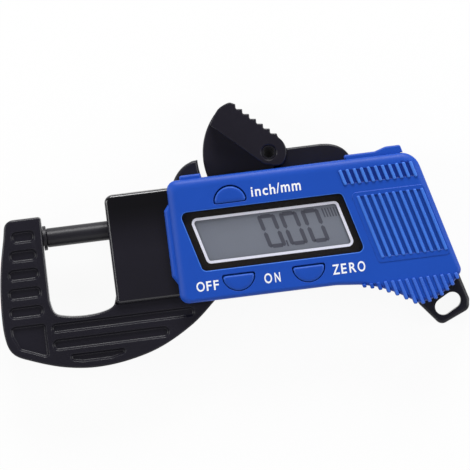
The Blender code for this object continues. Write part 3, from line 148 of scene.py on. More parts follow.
def outline(corners, grow=0.0):
    """A counter-clockwise outline with rounded corners, moved outwards by grow."""
    count = len(corners)
    spots = [Vector((x, y)) for x, y, _ in corners]
    moved = []
    turns = []
    for i in range(count):
        before = (spots[i] - spots[i - 1]).normalized()
        after = (spots[(i + 1) % count] - spots[i]).normalized()
        turn = math.atan2(before.x * after.y - before.y * after.x, before.dot(after))
        side = Vector((before.y + after.y, -before.x - after.x))
        moved.append(spots[i] + side * (grow / (1.0 + before.dot(after))))
        turns.append(turn)
    points = []
    for i, (_, _, radius) in enumerate(corners):
        if radius == 0.0 or abs(turns[i]) < 1e-3:
            points.append(tuple(moved[i]))
            continue
        radius = max(0.05, radius + (grow if turns[i] > 0 else -grow))
        to_last = moved[i - 1] - moved[i]
        to_next = moved[(i + 1) % count] - moved[i]
        half = abs(turns[i]) / 2
        length = min(radius * math.tan(half), 0.49 * to_last.length, 0.49 * to_next.length)
        start = moved[i] + to_last.normalized() * length
        end = moved[i] + to_next.normalized() * length
        weight = math.cos(half)
        for k in range(ARC_STEPS + 1):
            t = k / ARC_STEPS
            total = (1 - t) ** 2 + 2 * weight * t * (1 - t) + t * t
            p = (start * (1 - t) ** 2 + moved[i] * 2 * weight * t * (1 - t) + end * t * t) / total
            points.append((p.x, p.y))
    return points


def box_corners(left, bottom, right, top, radius=0.0):
    return [(left, bottom, radius), (right, bottom, radius), (right, top, radius), (left, top, radius)]


def slanted(left, bottom, right, top, radius):
    return [(left - SLANT * bottom, bottom, radius), (right - SLANT * bottom, bottom, radius),
            (right - SLANT * top, top, radius), (left - SLANT * top, top, radius)]


# Meshes are built from rings of points, bridged and filled
def bridge(bm, low, high):
    for i in range(len(low)):
        j = (i + 1) % len(low)
        bm.faces.new((low[i], low[j], high[j], high[i]))


def fill(bm, loop, holes=(), up=True):
    """A flat face in a loop, round the holes in it."""
    if not holes:
        bm.faces.new(loop if up else list(reversed(loop)))
        return
    loops = [loop, *holes]
    verts = [v for one in loops for v in one]
    for corner in tessellate_polygon([[v.co for v in one] for one in loops]):
        a, b, c = (verts[k] for k in corner)
        facing = (b.co - a.co).cross(c.co - a.co).z > 0
        bm.faces.new((a, b, c) if facing == up else (c, b, a))


def stack(bm, rings):
    loops = [[bm.verts.new((x, y, z)) for x, y in points] for points, z in rings]
    for low, high in zip(loops, loops[1:]):
        bridge(bm, low, high)
    return loops


def form(bm, rings, inside=()):
    """A raised or sunk form on a flat face; its first ring is the hole that it needs in that face."""
    loops = stack(bm, rings)
    fill(bm, loops[-1], inside)
    return loops[0]


def solid(bm, rings, inside=()):
    """A closed body, lowest ring first, with forms on its top face."""
    loops = stack(bm, rings)
    fill(bm, loops[-1], inside)
    fill(bm, loops[0], up=False)


def plate(bm, rings, holes):
    """A closed body with through holes, each given by its rings from the top face down."""
    loops = stack(bm, rings)
    inner = [stack(bm, hole) for hole in holes]
    fill(bm, loops[-1], [one[0] for one in inner])
    fill(bm, loops[0], [one[-1] for one in inner], up=False)


def rounded(corners, low, high, radius, steps=ROUND_STEPS, foot=0.0):
    """Rings up a wall and over its rounded top edge, with the foot's edge rounded too if asked for."""
    rings = []
    if foot:
        for k in range(steps):
            angle = math.pi / 2 * k / steps
            rings.append((outline(corners, -foot * (1 - math.sin(angle))), low + foot * (1 - math.cos(angle))))
        rings.append((outline(corners), low + foot))
    else:
        rings.append((outline(corners), low))
    for k in range(steps + 1):
        angle = math.pi / 2 * k / steps
        rings.append((outline(corners, -radius * (1 - math.cos(angle))), high - radius * (1 - math.sin(angle))))
    return rings


def lip(corners, top, floor, radius, steps=3):
    """Rings from a face into a hole with a rounded lip."""
    rings = []
    for k in range(steps + 1):
        angle = math.pi / 2 * k / steps
        rings.append((outline(corners, radius * (1 - math.sin(angle))), top - radius * (1 - math.cos(angle))))
    rings.append((outline(corners), floor))
    return rings


def prism(bm, points, low, high):
    solid(bm, [(points, low), (points, high)])


def box(bm, low, high):
    prism(bm, outline(box_corners(low[0], low[1], high[0], high[1])), low[2], high[2])


def turned(bm, profile, base, axis="Z", segments=64):
    """A turned solid: profile is (radius, height) up its outer side, closed on the axis or as a ring."""
    turn = {"Z": Matrix.Identity(4), "X": Matrix.Rotation(math.pi / 2, 4, "Y"),
            "Y": Matrix.Rotation(-math.pi / 2, 4, "X")}[axis]
    place = Matrix.Translation(base) @ turn
    rings = []
    for radius, height in profile:
        if radius == 0.0:
            rings.append([bm.verts.new(place @ Vector((0, 0, height)))])
        else:
            points = arc((0, 0), radius, 0, 360, segments)[:-1]
            rings.append([bm.verts.new(place @ Vector((x, y, height))) for x, y in points])
    pairs = list(zip(rings, rings[1:]))
    if profile[0][0] > 0.0:
        pairs.append((rings[-1], rings[0]))
    for low, high in pairs:
        for i in range(segments):
            j = (i + 1) % segments
            if len(low) == 1:
                bm.faces.new((low[0], high[j], high[i]))
            elif len(high) == 1:
                bm.faces.new((low[i], low[j], high[0]))
            else:
                bm.faces.new((low[i], low[j], high[j], high[i]))


def rod(bm, radius, base, length, axis="Z", segments=32):
    turned(bm, [(0.0, 0.0), (radius, 0.0), (radius, length), (0.0, length)], base, axis, segments)


def new_object(name, bm):
    bmesh.ops.scale(bm, vec=(MM, MM, MM), verts=bm.verts)
    mesh = bpy.data.meshes.new(name)
    bm.to_mesh(mesh)
    bm.free()
    made = bpy.data.objects.new(name, mesh)
    bpy.context.scene.collection.objects.link(made)
    return made


def combine(target, bm, operation="DIFFERENCE"):
    """Cuts a mesh out of the target or joins it on, at once."""
    tool = new_object("tool", bm)
    step = target.modifiers.new("step", "BOOLEAN")
    step.operation = operation
    step.object = tool
    step.solver = "EXACT"
    shown = target.evaluated_get(bpy.context.evaluated_depsgraph_get())
    mesh = bpy.data.meshes.new_from_object(shown)
    target.modifiers.clear()
    old = target.data
    target.data = mesh
    bpy.data.meshes.remove(old)
    bpy.data.objects.remove(tool)


def dress(made, body, look, slot, *replaced, angle=38):
    made.data.materials.clear()
    made.data.materials.append(look)
    made.data.shade_smooth()
    made.data.set_sharp_from_angle(angle=math.radians(angle))
    level = made.modifiers.new("even_shading", "WEIGHTED_NORMAL")
    level.keep_sharp = True
    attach(made, body)
    if replaced:
        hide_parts(*replaced)
    return made


# Materials
def look(name, colour, roughness, metallic=0.0, specular=0.5, spread=0.12, patch=60.0, grain=2500.0, bump=0.05,
         rough_spread=0.08, bands=None):
    """A plastic, metal or paint whose colour, roughness and surface vary as a moulded or turned one's do.

    bands is (axis, stops): each stop is a place along that axis and the colour there, in place of the one
    colour; the bands paint shade and highlights into the colour, as where a groove is painted darker for shade
    and a crest or rim painted lighter for a highlight.
    """
    made = bpy.data.materials.new(name)
    made.use_nodes = True
    tree = made.node_tree
    shader = tree.nodes["Principled BSDF"]
    shader.inputs["Metallic"].default_value = metallic
    shader.inputs["Specular IOR Level"].default_value = specular
    where = tree.nodes.new("ShaderNodeTexCoord")

    def noise(scale, detail):
        made_noise = tree.nodes.new("ShaderNodeTexNoise")
        made_noise.inputs["Scale"].default_value = scale
        made_noise.inputs["Detail"].default_value = detail
        tree.links.new(where.outputs["Object"], made_noise.inputs["Vector"])
        return made_noise.outputs["Fac"]

    broad = noise(patch, 3.0)
    fine = noise(grain, 4.0)
    ramp = tree.nodes.new("ShaderNodeValToRGB")
    ramp.color_ramp.elements[0].position = 0.3
    ramp.color_ramp.elements[1].position = 0.7
    low, high = ((1 - 2 * spread,) * 3, (1.0,) * 3) if bands else ([c * (1 - spread) for c in colour],
                                                                   [min(1.0, c * (1 + spread)) for c in colour])
    ramp.color_ramp.elements[0].color = (*low, 1.0)
    ramp.color_ramp.elements[1].color = (*high, 1.0)
    tree.links.new(broad, ramp.inputs["Fac"])
    tree.links.new(ramp.outputs["Color"], shader.inputs["Base Color"])
    if bands:
        axis, stops = bands
        first, last = stops[0][0], stops[-1][0]
        parts = tree.nodes.new("ShaderNodeSeparateXYZ")
        tree.links.new(where.outputs["Object"], parts.inputs[0])
        along = tree.nodes.new("ShaderNodeMapRange")
        along.inputs["From Min"].default_value = first * MM
        along.inputs["From Max"].default_value = last * MM
        tree.links.new(parts.outputs[axis], along.inputs["Value"])
        shades = tree.nodes.new("ShaderNodeValToRGB")
        elements = shades.color_ramp.elements
        for k, (place, shade) in enumerate(stops):
            if k in (0, len(stops) - 1):
                element = elements[0 if k == 0 else -1]
                element.position = 0.0 if k == 0 else 1.0
            else:
                element = elements.new((place - first) / (last - first))
            element.color = (*shade, 1.0)
        tree.links.new(along.outputs["Result"], shades.inputs["Fac"])
        both = tree.nodes.new("ShaderNodeVectorMath")
        both.operation = "MULTIPLY"
        tree.links.new(shades.outputs["Color"], both.inputs[0])
        tree.links.new(ramp.outputs["Color"], both.inputs[1])
        tree.links.new(both.outputs[0], shader.inputs["Base Color"])
    span = tree.nodes.new("ShaderNodeMapRange")
    span.inputs["From Min"].default_value = 0.3
    span.inputs["From Max"].default_value = 0.7
    span.inputs["To Min"].default_value = roughness - rough_spread / 2
    span.inputs["To Max"].default_value = roughness + rough_spread / 2
    tree.links.new(fine, span.inputs["Value"])
    tree.links.new(span.outputs["Result"], shader.inputs["Roughness"])
    relief = tree.nodes.new("ShaderNodeBump")
    relief.inputs["Strength"].default_value = bump
    relief.inputs["Distance"].default_value = 0.0001
    tree.links.new(fine, relief.inputs["Height"])
    tree.links.new(relief.outputs["Normal"], shader.inputs["Normal"])
    return made


def clear_look(name):
    """A clear pane: what is behind it, under a weak reflection."""
    made = bpy.data.materials.new(name)
    made.use_nodes = True
    tree = made.node_tree
    tree.nodes.remove(tree.nodes["Principled BSDF"])
    out = tree.nodes["Material Output"]
    glossy = tree.nodes.new("ShaderNodeBsdfGlossy")
    glossy.inputs["Roughness"].default_value = 0.12
    through = tree.nodes.new("ShaderNodeBsdfTransparent")
    mix = tree.nodes.new("ShaderNodeMixShader")
    where = tree.nodes.new("ShaderNodeTexCoord")
    smear = tree.nodes.new("ShaderNodeTexNoise")
    smear.inputs["Scale"].default_value = 90.0
    span = tree.nodes.new("ShaderNodeMapRange")
    span.inputs["To Min"].default_value = 0.008
    span.inputs["To Max"].default_value = 0.012
    tree.links.new(where.outputs["Object"], smear.inputs["Vector"])
    tree.links.new(smear.outputs["Fac"], span.inputs["Value"])
    tree.links.new(span.outputs["Result"], mix.inputs[0])
    tree.links.new(through.outputs[0], mix.inputs[1])
    tree.links.new(glossy.outputs[0], mix.inputs[2])
    tree.links.new(mix.outputs[0], out.inputs["Surface"])
    return made


BLUE_INK = (0.0075, 0.071, 0.46)
BLUE = look("blue_moulding", BLUE_INK, 0.46, specular=0.32, spread=0.04, bump=0.04)
# Rib colours with painted shade and highlight: the groove colour is painted shade on the floor between ribs, the crest
# colour a painted highlight along each rib's top.
def painted_rib_look(name, groove, crest):
    stops = ((COVER_TOP - 0.1, groove), (COVER_TOP - 0.01, groove), (COVER_TOP + 0.12, BLUE_INK),
             (COVER_TOP + 0.2, BLUE_INK), (COVER_TOP + 0.38, crest), (COVER_TOP + 0.44, crest))
    return look(name, BLUE_INK, 0.42, specular=0.38, spread=0.04, bump=0.04, bands=("Z", stops))


# Panel and top ribs: grooves painted darker as shade, crests painted lighter as a highlight; low ribs: crests painted
# lighter as a highlight only.
PANEL_RIB_SHADE_AND_HIGHLIGHT = painted_rib_look("blue_panel_ribs_painted_shade_and_highlight", (0.006, 0.058, 0.37), (0.05, 0.19, 0.75))
TOP_RIB_SHADE_AND_HIGHLIGHT = painted_rib_look("blue_top_ribs_painted_shade_and_highlight", (0.002, 0.031, 0.28), (0.06, 0.215, 0.78))
LOW_RIB_HIGHLIGHT = painted_rib_look("blue_low_ribs_painted_highlight", BLUE_INK, (0.04, 0.145, 0.66))
# The window's lip is painted a lighter blue as a highlight.
LIP_HIGHLIGHT_BLUE = look("blue_window_lip_painted_highlight", (0.04, 0.17, 0.68), 0.42, specular=0.38, spread=0.04, bump=0.04)
# The buttons' rounded top edge is painted a lighter blue as a rim highlight.
CAP_RIM_HIGHLIGHT_BLUE = look("button_moulding_painted_rim", BLUE_INK, 0.46, specular=0.32, spread=0.04, bump=0.04, bands=(
    "Z", ((COVER_TOP - 0.5, BLUE_INK), (COVER_TOP - 0.14, (0.03, 0.135, 0.63)), (COVER_TOP + 0.1, (0.03, 0.135, 0.63)),
          (COVER_TOP + 0.19, BLUE_INK), (COVER_TOP + 0.3, BLUE_INK))))
BLACK = look("black_moulding", (0.0128, 0.0118, 0.0185), 0.32, specular=0.38, spread=0.1, bump=0.02)
# The lever's web is painted lighter than its pad as painted light, where the pad shades the web.
LEVER_BLACK_PAINTED_WEB_LIGHT = look("lever_moulding", BLUE_INK, 0.36, specular=0.38, spread=0.1, bump=0.04, bands=(
    "Z", ((4.0, (0.021, 0.0185, 0.0285)), (WEB_FRONT + 0.1, (0.021, 0.0185, 0.0285)), (7.0, (0.0122, 0.0107, 0.0183)),
          (PAD_FRONT, (0.0122, 0.0107, 0.0183)))))
# The lid is painted darker towards its top and lighter towards its foot as a painted reflection, with a painted
# highlight line along its top edge.
LID_BLACK_PAINTED_SHEEN = look("lid_moulding_painted_sheen", BLUE_INK, 0.15, specular=0.8, spread=0.1, rough_spread=0.03, bump=0.0, bands=(
    "Y", ((-18.0, (0.0135, 0.0125, 0.0195)), (-6.0, (0.0145, 0.0132, 0.0208)), (-1.0, (0.0105, 0.0095, 0.0155)),
          (2.5, (0.0052, 0.0046, 0.0078)), (5.0, (0.003, 0.0027, 0.0045)), (7.7, (0.003, 0.0027, 0.0045)),
          (7.85, (0.06, 0.06, 0.064)), (8.1, (0.06, 0.06, 0.064)), (8.25, (0.003, 0.0027, 0.0045)),
          (8.4, (0.003, 0.0027, 0.0045)))))
BLACK_STEEL = look("black_oxide", (0.011, 0.0104, 0.0152), 0.4, specular=0.42, spread=0.15, rough_spread=0.04,
                   bump=0.01)
STEEL = look("bright_steel", (0.55, 0.55, 0.56), 0.3, metallic=1.0, spread=0.06, bump=0.05)
BRASS = look("bush_brass", (0.6, 0.42, 0.16), 0.35, metallic=1.0, spread=0.08, bump=0.05)
WHITE = look("white_moulding", (0.6, 0.6, 0.58), 0.5, spread=0.05)
INK = look("white_ink", (0.95, 0.96, 0.98), 0.5, specular=0.3, spread=0.02, bump=0.03)
LINE = look("display_line", (0.82, 0.82, 0.91), 0.45, specular=0.3, spread=0.03, bump=0.03)
BORDER = look("display_border", (0.0095, 0.0072, 0.0062), 0.55, specular=0.2, spread=0.04, bump=0.0)
LCD = look("lcd_face", (0.18, 0.195, 0.235), 0.45, specular=0.3, spread=0.06, patch=30.0, bump=0.02)
SEGMENT = look("lcd_segment", (0.08, 0.083, 0.108), 0.45, specular=0.3, spread=0.08, bump=0.02)
BOARD = look("board_lacquer", (0.02, 0.16, 0.06), 0.45, spread=0.12)
RUBBER = look("dark_rubber", (0.03, 0.03, 0.03), 0.7, spread=0.15, bump=0.15)
PANE = clear_look("clear_pane")

CARRIED = {
    "blue_plastic": BLUE, "black_plastic": BLACK, "black_steel": BLACK_STEEL, "steel": STEEL, "brass": BRASS,
    "clear_plastic": PANE, "lcd_grey": LCD, "white_plastic": WHITE, "board_green": BOARD, "rubber": RUBBER,
}
for node in nodes.values():
    for slot in node.material_slots:
        base = slot.material.name.split(".")[0]
        slot.material = CARRIED[base]


# The housing
def lower_edge():
    offsets = [(-30.5, 0.0, 14.0), (-24.5, -0.6, 14.0), (-20.5, -1.6, 12.0), (-16.5, -3.4, 12.0),
               (-13.0, -5.5, 5.0), (-11.3, -6.6, 1.0), (-8.2, -6.1, 4.0), (-5.2, -4.9, 6.0),
               (-2.5, -2.8, 6.0), (-0.1, -0.2, 1.8)]
    return [(LANYARD_CORNER[0] + x, LANYARD_CORNER[1] + y, r) for x, y, r in offsets]


def housing_corners(left=HOUSING_LEFT, left_radius=HOUSING_CORNER, shrink=0.0):
    """The outline of the housing, with its left side and its top moved inwards by shrink."""
    top = HOUSING_TOP - shrink
    return ([(left + shrink, HOUSING_BOTTOM, left_radius)] + lower_edge()
            + [(HOUSING_RIGHT - SLANT * top - shrink, top, RIGHT_CORNER), (left + shrink, top, left_radius)])


def cover_rings():
    """Up the side of the front cover and over its edge, which is rounded more at the top than at the bottom."""
    rings = [(outline(housing_corners()), COVER_BOTTOM)]
    for k in range(9):
        angle = math.pi / 2 * k / 8
        inward = 1 - math.cos(angle)
        corners = housing_corners(shrink=(TOP_ROUND - EDGE_ROUND) * inward)
        rings.append((outline(corners, -EDGE_ROUND * inward), COVER_TOP - ROUND_DROP * (1 - math.sin(angle))))
    return rings


def half_moon(button, grow=0.0):
    """A half disc with small round corners, its every side moved outwards by grow."""
    x, y, way = button
    radius = BUTTON_R + grow
    low = math.asin(-grow / radius)
    reach = radius * math.cos(low)
    bend = math.degrees(low) + 19
    corners = [(x - reach, -grow, 1.1), (x + reach, -grow, 1.1)] + sharp(arc((x, 0.0), radius, bend, 180 - bend, 26))
    if way < 0:
        corners = [(px, -py, r) for px, py, r in reversed(corners)]
    return outline([(px, y + py, r) for px, py, r in corners])


WINDOW = slanted(-22.5, -12.45, 16.65, 2.05, 1.3)
LCD_SHAPE = slanted(-20.75, -10.85, 14.95, 0.4, 1.3)
LCD_BORDER = 0.65

RIB_PITCH = 1.7
RIB_PROFILE = ((0.0, 0.2), (0.03, 0.45), (0.08, 0.66), (0.15, 0.83), (0.23, 0.94), (0.32, 0.99), (0.4, 1.0))
RIB_HALF = 0.47
RIB_CREST = COVER_TOP + 0.44
RIB_FLOOR = COVER_TOP - 0.1
LOWER_RIB_TOP = -20.1


def rib(bm, x, top, bottom, base, low):
    """A slanted bar whose crest lies near its right side; x is its middle at its top end."""
    middle = x + SLANT * top
    rings = []
    for inward, share in RIB_PROFILE:
        corners = slanted(middle - RIB_HALF + 1.45 * inward, bottom + inward, middle + RIB_HALF - 0.55 * inward,
                          top - inward, 0.3)
        rings.append((outline(corners), base + (RIB_CREST - base) * share))
    solid(bm, [(rings[0][0], low)] + rings)


def rib_row(bm, first_x, top, bottom_of, base, low):
    side = HOUSING_RIGHT - 1.0
    count = int((side - SLANT * top - first_x) / RIB_PITCH) + 1
    for i in range(count):
        x = first_x + RIB_PITCH * i
        rib(bm, x, top, bottom_of(x), base, low)


def lower_rib_end(x):
    edge = [(edge_x, edge_y - 0.55) for edge_x, edge_y, _ in lower_edge()]
    y = LOWER_RIB_TOP
    for _ in range(4):
        across = x - SLANT * (y - LOWER_RIB_TOP)
        y = next((y0 + (y1 - y0) * (across - x0) / (x1 - x0) for (x0, y0), (x1, y1) in zip(edge, edge[1:])
                  if x0 <= across <= x1), edge[-1][1])
    return y


def screw_boss(bm, place, outer, bore, low):
    """A boss hanging from the cover's face, with a blind bore for a screw."""
    roof, top = FACE_BOTTOM - GAP, FACE_BOTTOM + 0.4
    turned(bm, [(0.0, roof), (bore, roof), (bore, low), (outer, low), (outer, top), (0.0, top)], (*place, 0.0),
           segments=32)


def front_cover():
    bm = bmesh.new()
    on_top = [form(bm, lip(WINDOW, COVER_TOP, FACE_BOTTOM - 0.4, 0.2))]
    for button in (UNIT_BUTTON, POWER_BUTTON, ZERO_BUTTON):
        x, y, way = button
        on_top.append(form(bm, [(half_moon((x, y + RING_SHIFT, way), grow), z) for grow, z in (
            (0.36, COVER_TOP), (0.27, COVER_TOP - 0.03), (0.21, COVER_TOP - 0.12), (0.2, FACE_BOTTOM - 0.4))]))
    solid(bm, cover_rings(), on_top)
    cover = new_object("front_cover_moulding", bm)

    bm = bmesh.new()
    panel = slanted(18.7, -15.6, 36.2, 1.8, 0.9)
    solid(bm, [(outline(panel, 0.12), COVER_TOP - 0.5), (outline(panel, 0.12), COVER_TOP - 0.02),
               (outline(panel), COVER_TOP + 0.12), (outline(panel, -0.14), COVER_TOP + 0.16)])
    combine(cover, bm, "UNION")
    bm = bmesh.new()
    for recess in (slanted(20.08, -14.3, 35.38, 0.75, 0.2), slanted(18.33, 4.05, 35.33, 7.4, 0.2)):
        solid(bm, [(outline(recess, -0.1), RIB_FLOOR), (outline(recess), RIB_FLOOR + 0.08),
                   (outline(recess), COVER_TOP + OVER)])
    combine(cover, bm)
    bm = bmesh.new()
    rib_row(bm, 16.25, 7.7, lambda x: 3.75, RIB_FLOOR, COVER_TOP - 0.7)
    rib_row(bm, 19.8, 1.05, lambda x: -14.6, RIB_FLOOR, COVER_TOP - 0.7)
    rib_row(bm, 18.65, LOWER_RIB_TOP, lower_rib_end, COVER_TOP, COVER_BOTTOM + GAP)
    combine(cover, bm, "UNION")
    bm = bmesh.new()
    inner, outer = HOUSING_LEFT + 1.4, HOUSING_LEFT - 1.3
    bulge = [(inner, -15.6, 0.0), (inner, 5.3, 0.0), (HOUSING_LEFT - 0.05, 4.6, 0.6), (outer, 3.0, 0.8),
             (outer, -12.8, 0.8), (HOUSING_LEFT - 0.05, -14.9, 0.6)]
    solid(bm, rounded(bulge, 13.6, FACE_BOTTOM + 0.55, 0.9, 6))
    ledge = [(-22.1, 9.0, 0.0), (-16.9, 9.0, 0.0), (-16.9, 10.9, 0.35), (-22.1, 10.9, 0.5)]
    solid(bm, rounded(ledge, 9.0, FACE_BOTTOM, 0.5))
    combine(cover, bm, "UNION")

    bm = bmesh.new()
    prism(bm, outline(housing_corners(), -WALL), 0.0, FACE_BOTTOM)
    combine(cover, bm)
    bm = bmesh.new()
    for i, (x, y) in enumerate(HOUSING_SCREWS):
        low = FRAME_FRONT + GAP + 0.03 if i < 2 else COVER_BOTTOM + 0.03
        screw_boss(bm, (x, y), 2.1, 1.1, low)
    for x, y in BOARD_SCREWS:
        screw_boss(bm, (x, y), 1.9, 0.9, BOARD_FRONT + GAP)
    combine(cover, bm, "UNION")
    bm = bmesh.new()
    for button in (UNIT_BUTTON, POWER_BUTTON, ZERO_BUTTON):
        prism(bm, half_moon(button, 0.9), FACE_BOTTOM - 1.5, FACE_BOTTOM)
    combine(cover, bm)
    left = HOUSING_LEFT - 1.3 - OVER
    bm = bmesh.new()
    box(bm, (left, -17.9, 0.0), (GUIDE_END + GAP, 8.65, BOX_FRONT + GAP))
    combine(cover, bm)
    bm = bmesh.new()
    box(bm, (left, HOUSING_BOTTOM - OVER, 0.0), (FRAME_END + 0.8, -17.1, FRAME_FRONT + GAP))
    combine(cover, bm)
    bm = bmesh.new()
    half = TRAY_HALF + GAP / 2
    box(bm, (CELL_CENTRE[0] - half, HOUSING_TOP - WALL - 0.7, 0.0),
        (CELL_CENTRE[0] + half, HOUSING_TOP + OVER, TRAY_FRONT + SEAT))
    combine(cover, bm)
    dress(cover, "housing", BLUE, "blue_plastic", "front_cover")
    for extra in (PANEL_RIB_SHADE_AND_HIGHLIGHT, TOP_RIB_SHADE_AND_HIGHLIGHT, LOW_RIB_HIGHLIGHT, LIP_HIGHLIGHT_BLUE):
        cover.data.materials.append(extra)
    # Material indices: faces on the window's lip get its painted highlight; the panel, top and low ribs get their
    # painted shade and highlights.
    for face in cover.data.polygons:
        x, y, z = face.center / MM
        across = x + SLANT * y
        if -0.19 < z - COVER_TOP < -0.004 and -13.0 < y < 2.5 and -22.8 < across < 17.5:
            face.material_index = 4
            continue
        if z < RIB_FLOOR - 0.02 or across < 17.8 or abs(z - COVER_TOP) < 0.005:
            continue
        if -15.3 < y < 1.5 and 19.1 < across < 36.1:
            face.material_index = 1
        elif 3.6 < y < 7.8 and across < 36.0:
            face.material_index = 2
        elif z > COVER_TOP + 0.02 and y < -15.7:
            face.material_index = 3


def lanyard_loop():
    offsets = [(-12.5, -4.3, 0.0), (-11.1, -7.2, 3.0), (-6.5, -12.88, 1.8), (0.7, -9.8, 1.8), (1.07, -7.3, 1.4),
               (-0.9, -0.3, 0.0)]
    return [(LANYARD_CORNER[0] + x, LANYARD_CORNER[1] + y, r) for x, y, r in offsets]


def lanyard_slot():
    points = arc((1.35, 0.0), 2.0, -90, 90, 14) + arc((-1.35, 0.0), 2.0, 90, 270, 14)
    return sharp(turned_by(points, 29.0, (LANYARD_CORNER[0] - 4.2, LANYARD_CORNER[1] - 7.9)))


def rear_shell():
    corners = housing_corners(HOUSING_LEFT - 0.3, HOUSING_CORNER + 0.2)
    inset = [(x, y, r) for x, y, r in corners]
    bm = bmesh.new()
    rings = []
    for k in range(6):
        angle = math.pi / 2 * k / 5
        rings.append((outline(inset, -0.15 - 0.9 * (1 - math.sin(angle))), 0.9 * (1 - math.cos(angle))))
    rings.append((outline(inset, -0.15), REAR_TOP))
    solid(bm, rings)
    shell = new_object("rear_shell_moulding", bm)
    start = 180 + math.degrees(math.asin((PIVOT[1] - 7.0) / BUMP_R))
    bump = sharp([(-24.3, 7.0)] + arc(PIVOT, BUMP_R, start, 179.2, 10)
                 + spline([(-18.7, 13.98), (-20.0, 13.46), (-21.0, 12.88), (-22.0, 12.04), (-23.0, 10.85),
                           (-23.8, 9.5)], 2))
    hump = ([(1.5, 8.7, 0.0), (19.2, 8.7, 0.0), (19.2, 10.6, 0.4)]
            + sharp(spline([(18.85, 11.3), (17.9, 12.45), (16.4, 13.45), (14.6, 14.05), (12.6, 14.3)]))
            + [(1.5, 14.3, 0.2)])
    bm = bmesh.new()
    solid(bm, rounded(bump, 0.0, REAR_TOP, 0.7, 5, 0.7))
    solid(bm, rounded(hump, 0.0, REAR_TOP, 0.5, 5, 0.7))
    combine(shell, bm, "UNION")
    bm = bmesh.new()
    lug = sharp([(-BOSS_LOW_R, 8.7), (5.2, 8.7), (5.2, PIVOT[1] - 0.2)] + arc(PIVOT, BOSS_LOW_R, 0, 180, 20))
    solid(bm, rounded(lug, 0.0, REAR_FLOOR, 0.15, 2, 0.3))
    combine(shell, bm, "UNION")
    bm = bmesh.new()
    slot = lanyard_slot()
    hole = [(outline(slot, 0.4), 6.0), (outline(slot, 0.15), 5.93), (outline(slot, 0.03), 5.75), (outline(slot), 5.5),
            (outline(slot), 0.5), (outline(slot, 0.15), 0.12), (outline(slot, 0.4), 0.0)]
    plate(bm, rounded(lanyard_loop(), 0.0, 6.0, 0.8, 5, 0.6), [hole])
    combine(shell, bm, "UNION")

    bm = bmesh.new()
    prism(bm, outline(corners, -0.15 - WALL), REAR_FLOOR, COVER_TOP)
    combine(shell, bm)
    bm = bmesh.new()
    for x, y in HOUSING_SCREWS[2:]:
        rod(bm, 2.1, (x, y, 1.0), REAR_TOP - 1.0)
    box(bm, (POST_LEFT, ROD_Y - ROD_R - 1.2, 1.0), (POST_LEFT + POST_THICKNESS, POST_EDGE, POST_TOP))
    combine(shell, bm, "UNION")
    left = HOUSING_LEFT - 0.3 - OVER
    for low, high in (((left, -17.9, REAR_FLOOR), (FRAME_END + GAP, 8.65, COVER_TOP)),
                      ((left, HOUSING_BOTTOM - OVER, FRAME_BACK - GAP), (FRAME_END + 0.8, -17.1, COVER_TOP)),
                      ((0.4 - BUMP_R, 7.7, REAR_FLOOR), (4.75, 15.2, WEB_FRONT + GAP)),
                      ((0.4 - BUMP_R, 7.7, WEB_FRONT), (2.4, 15.2, COVER_TOP)),
                      ((3.75, 7.7, REAR_FLOOR), (6.2, HOUSING_TOP + 0.9, WEB_FRONT + GAP))):
        bm = bmesh.new()
        box(bm, low, high)
        combine(shell, bm)
    bm = bmesh.new()
    for x, y in HOUSING_SCREWS:
        turned(bm, [(0.0, -OVER), (2.3, -OVER), (2.3, 1.2), (1.3, 1.2), (1.3, COVER_TOP), (0.0, COVER_TOP)],
               (x, y, 0.0), segments=32)
    rod(bm, 1.1, (PIVOT[0], PIVOT[1], -OVER), REAR_FLOOR + 2 * OVER)
    rod(bm, BOSS_R + 0.17, (PIVOT[0], PIVOT[1], WEB_FRONT), COVER_TOP, segments=64)
    rod(bm, 0.95, (POST_LEFT - OVER, 0.0, SPINDLE_Z), POST_THICKNESS + 2 * OVER, "X")
    rod(bm, 1.1, (POST_LEFT - OVER, ROD_Y, SPINDLE_Z), POST_THICKNESS + 2 * OVER, "X")
    combine(shell, bm)
    dress(shell, "housing", BLACK, "black_plastic", "rear_shell")


# The C-frame and the guide box
def frame_outer():
    return spline([(-65.85, 1.0), (-67.37, -6.0), (-68.33, -14.0), (-68.42, -22.0), (-66.9, -26.6),
                   (-62.3, -29.0), (-55.0, -31.3), (-47.3, -32.2), (-39.0, -31.4), (-31.0, -29.1), (-23.0, -24.7),
                   (FRAME_END, HOUSING_BOTTOM - SEAT)])


def frame_throat():
    return spline([(GUIDE_LEFT, -15.5), (GUIDE_LEFT - 0.95, -18.1), (GUIDE_LEFT - 3.85, -19.25),
                   (GUIDE_LEFT - 8.15, -19.6), (ARM_FACE + 3.4, -19.2), (ARM_FACE + 0.6, -18.1),
                   (ARM_FACE - 0.25, -15.0)])


def block_end():
    return [(FRAME_END, 8.1, 0.3), (GUIDE_END, 8.1, 0.0), (GUIDE_END, 8.35, 0.0), (GUIDE_LEFT, 8.35, 1.8)]


def frame_edge_x(y):
    points = [p for p in frame_outer() if p[0] < ARM_LEFT]
    for (x0, y0), (x1, y1) in zip(points, points[1:]):
        if y1 <= y <= y0:
            return x0 + (x1 - x0) * (y - y0) / (y1 - y0)
    return points[0][0]


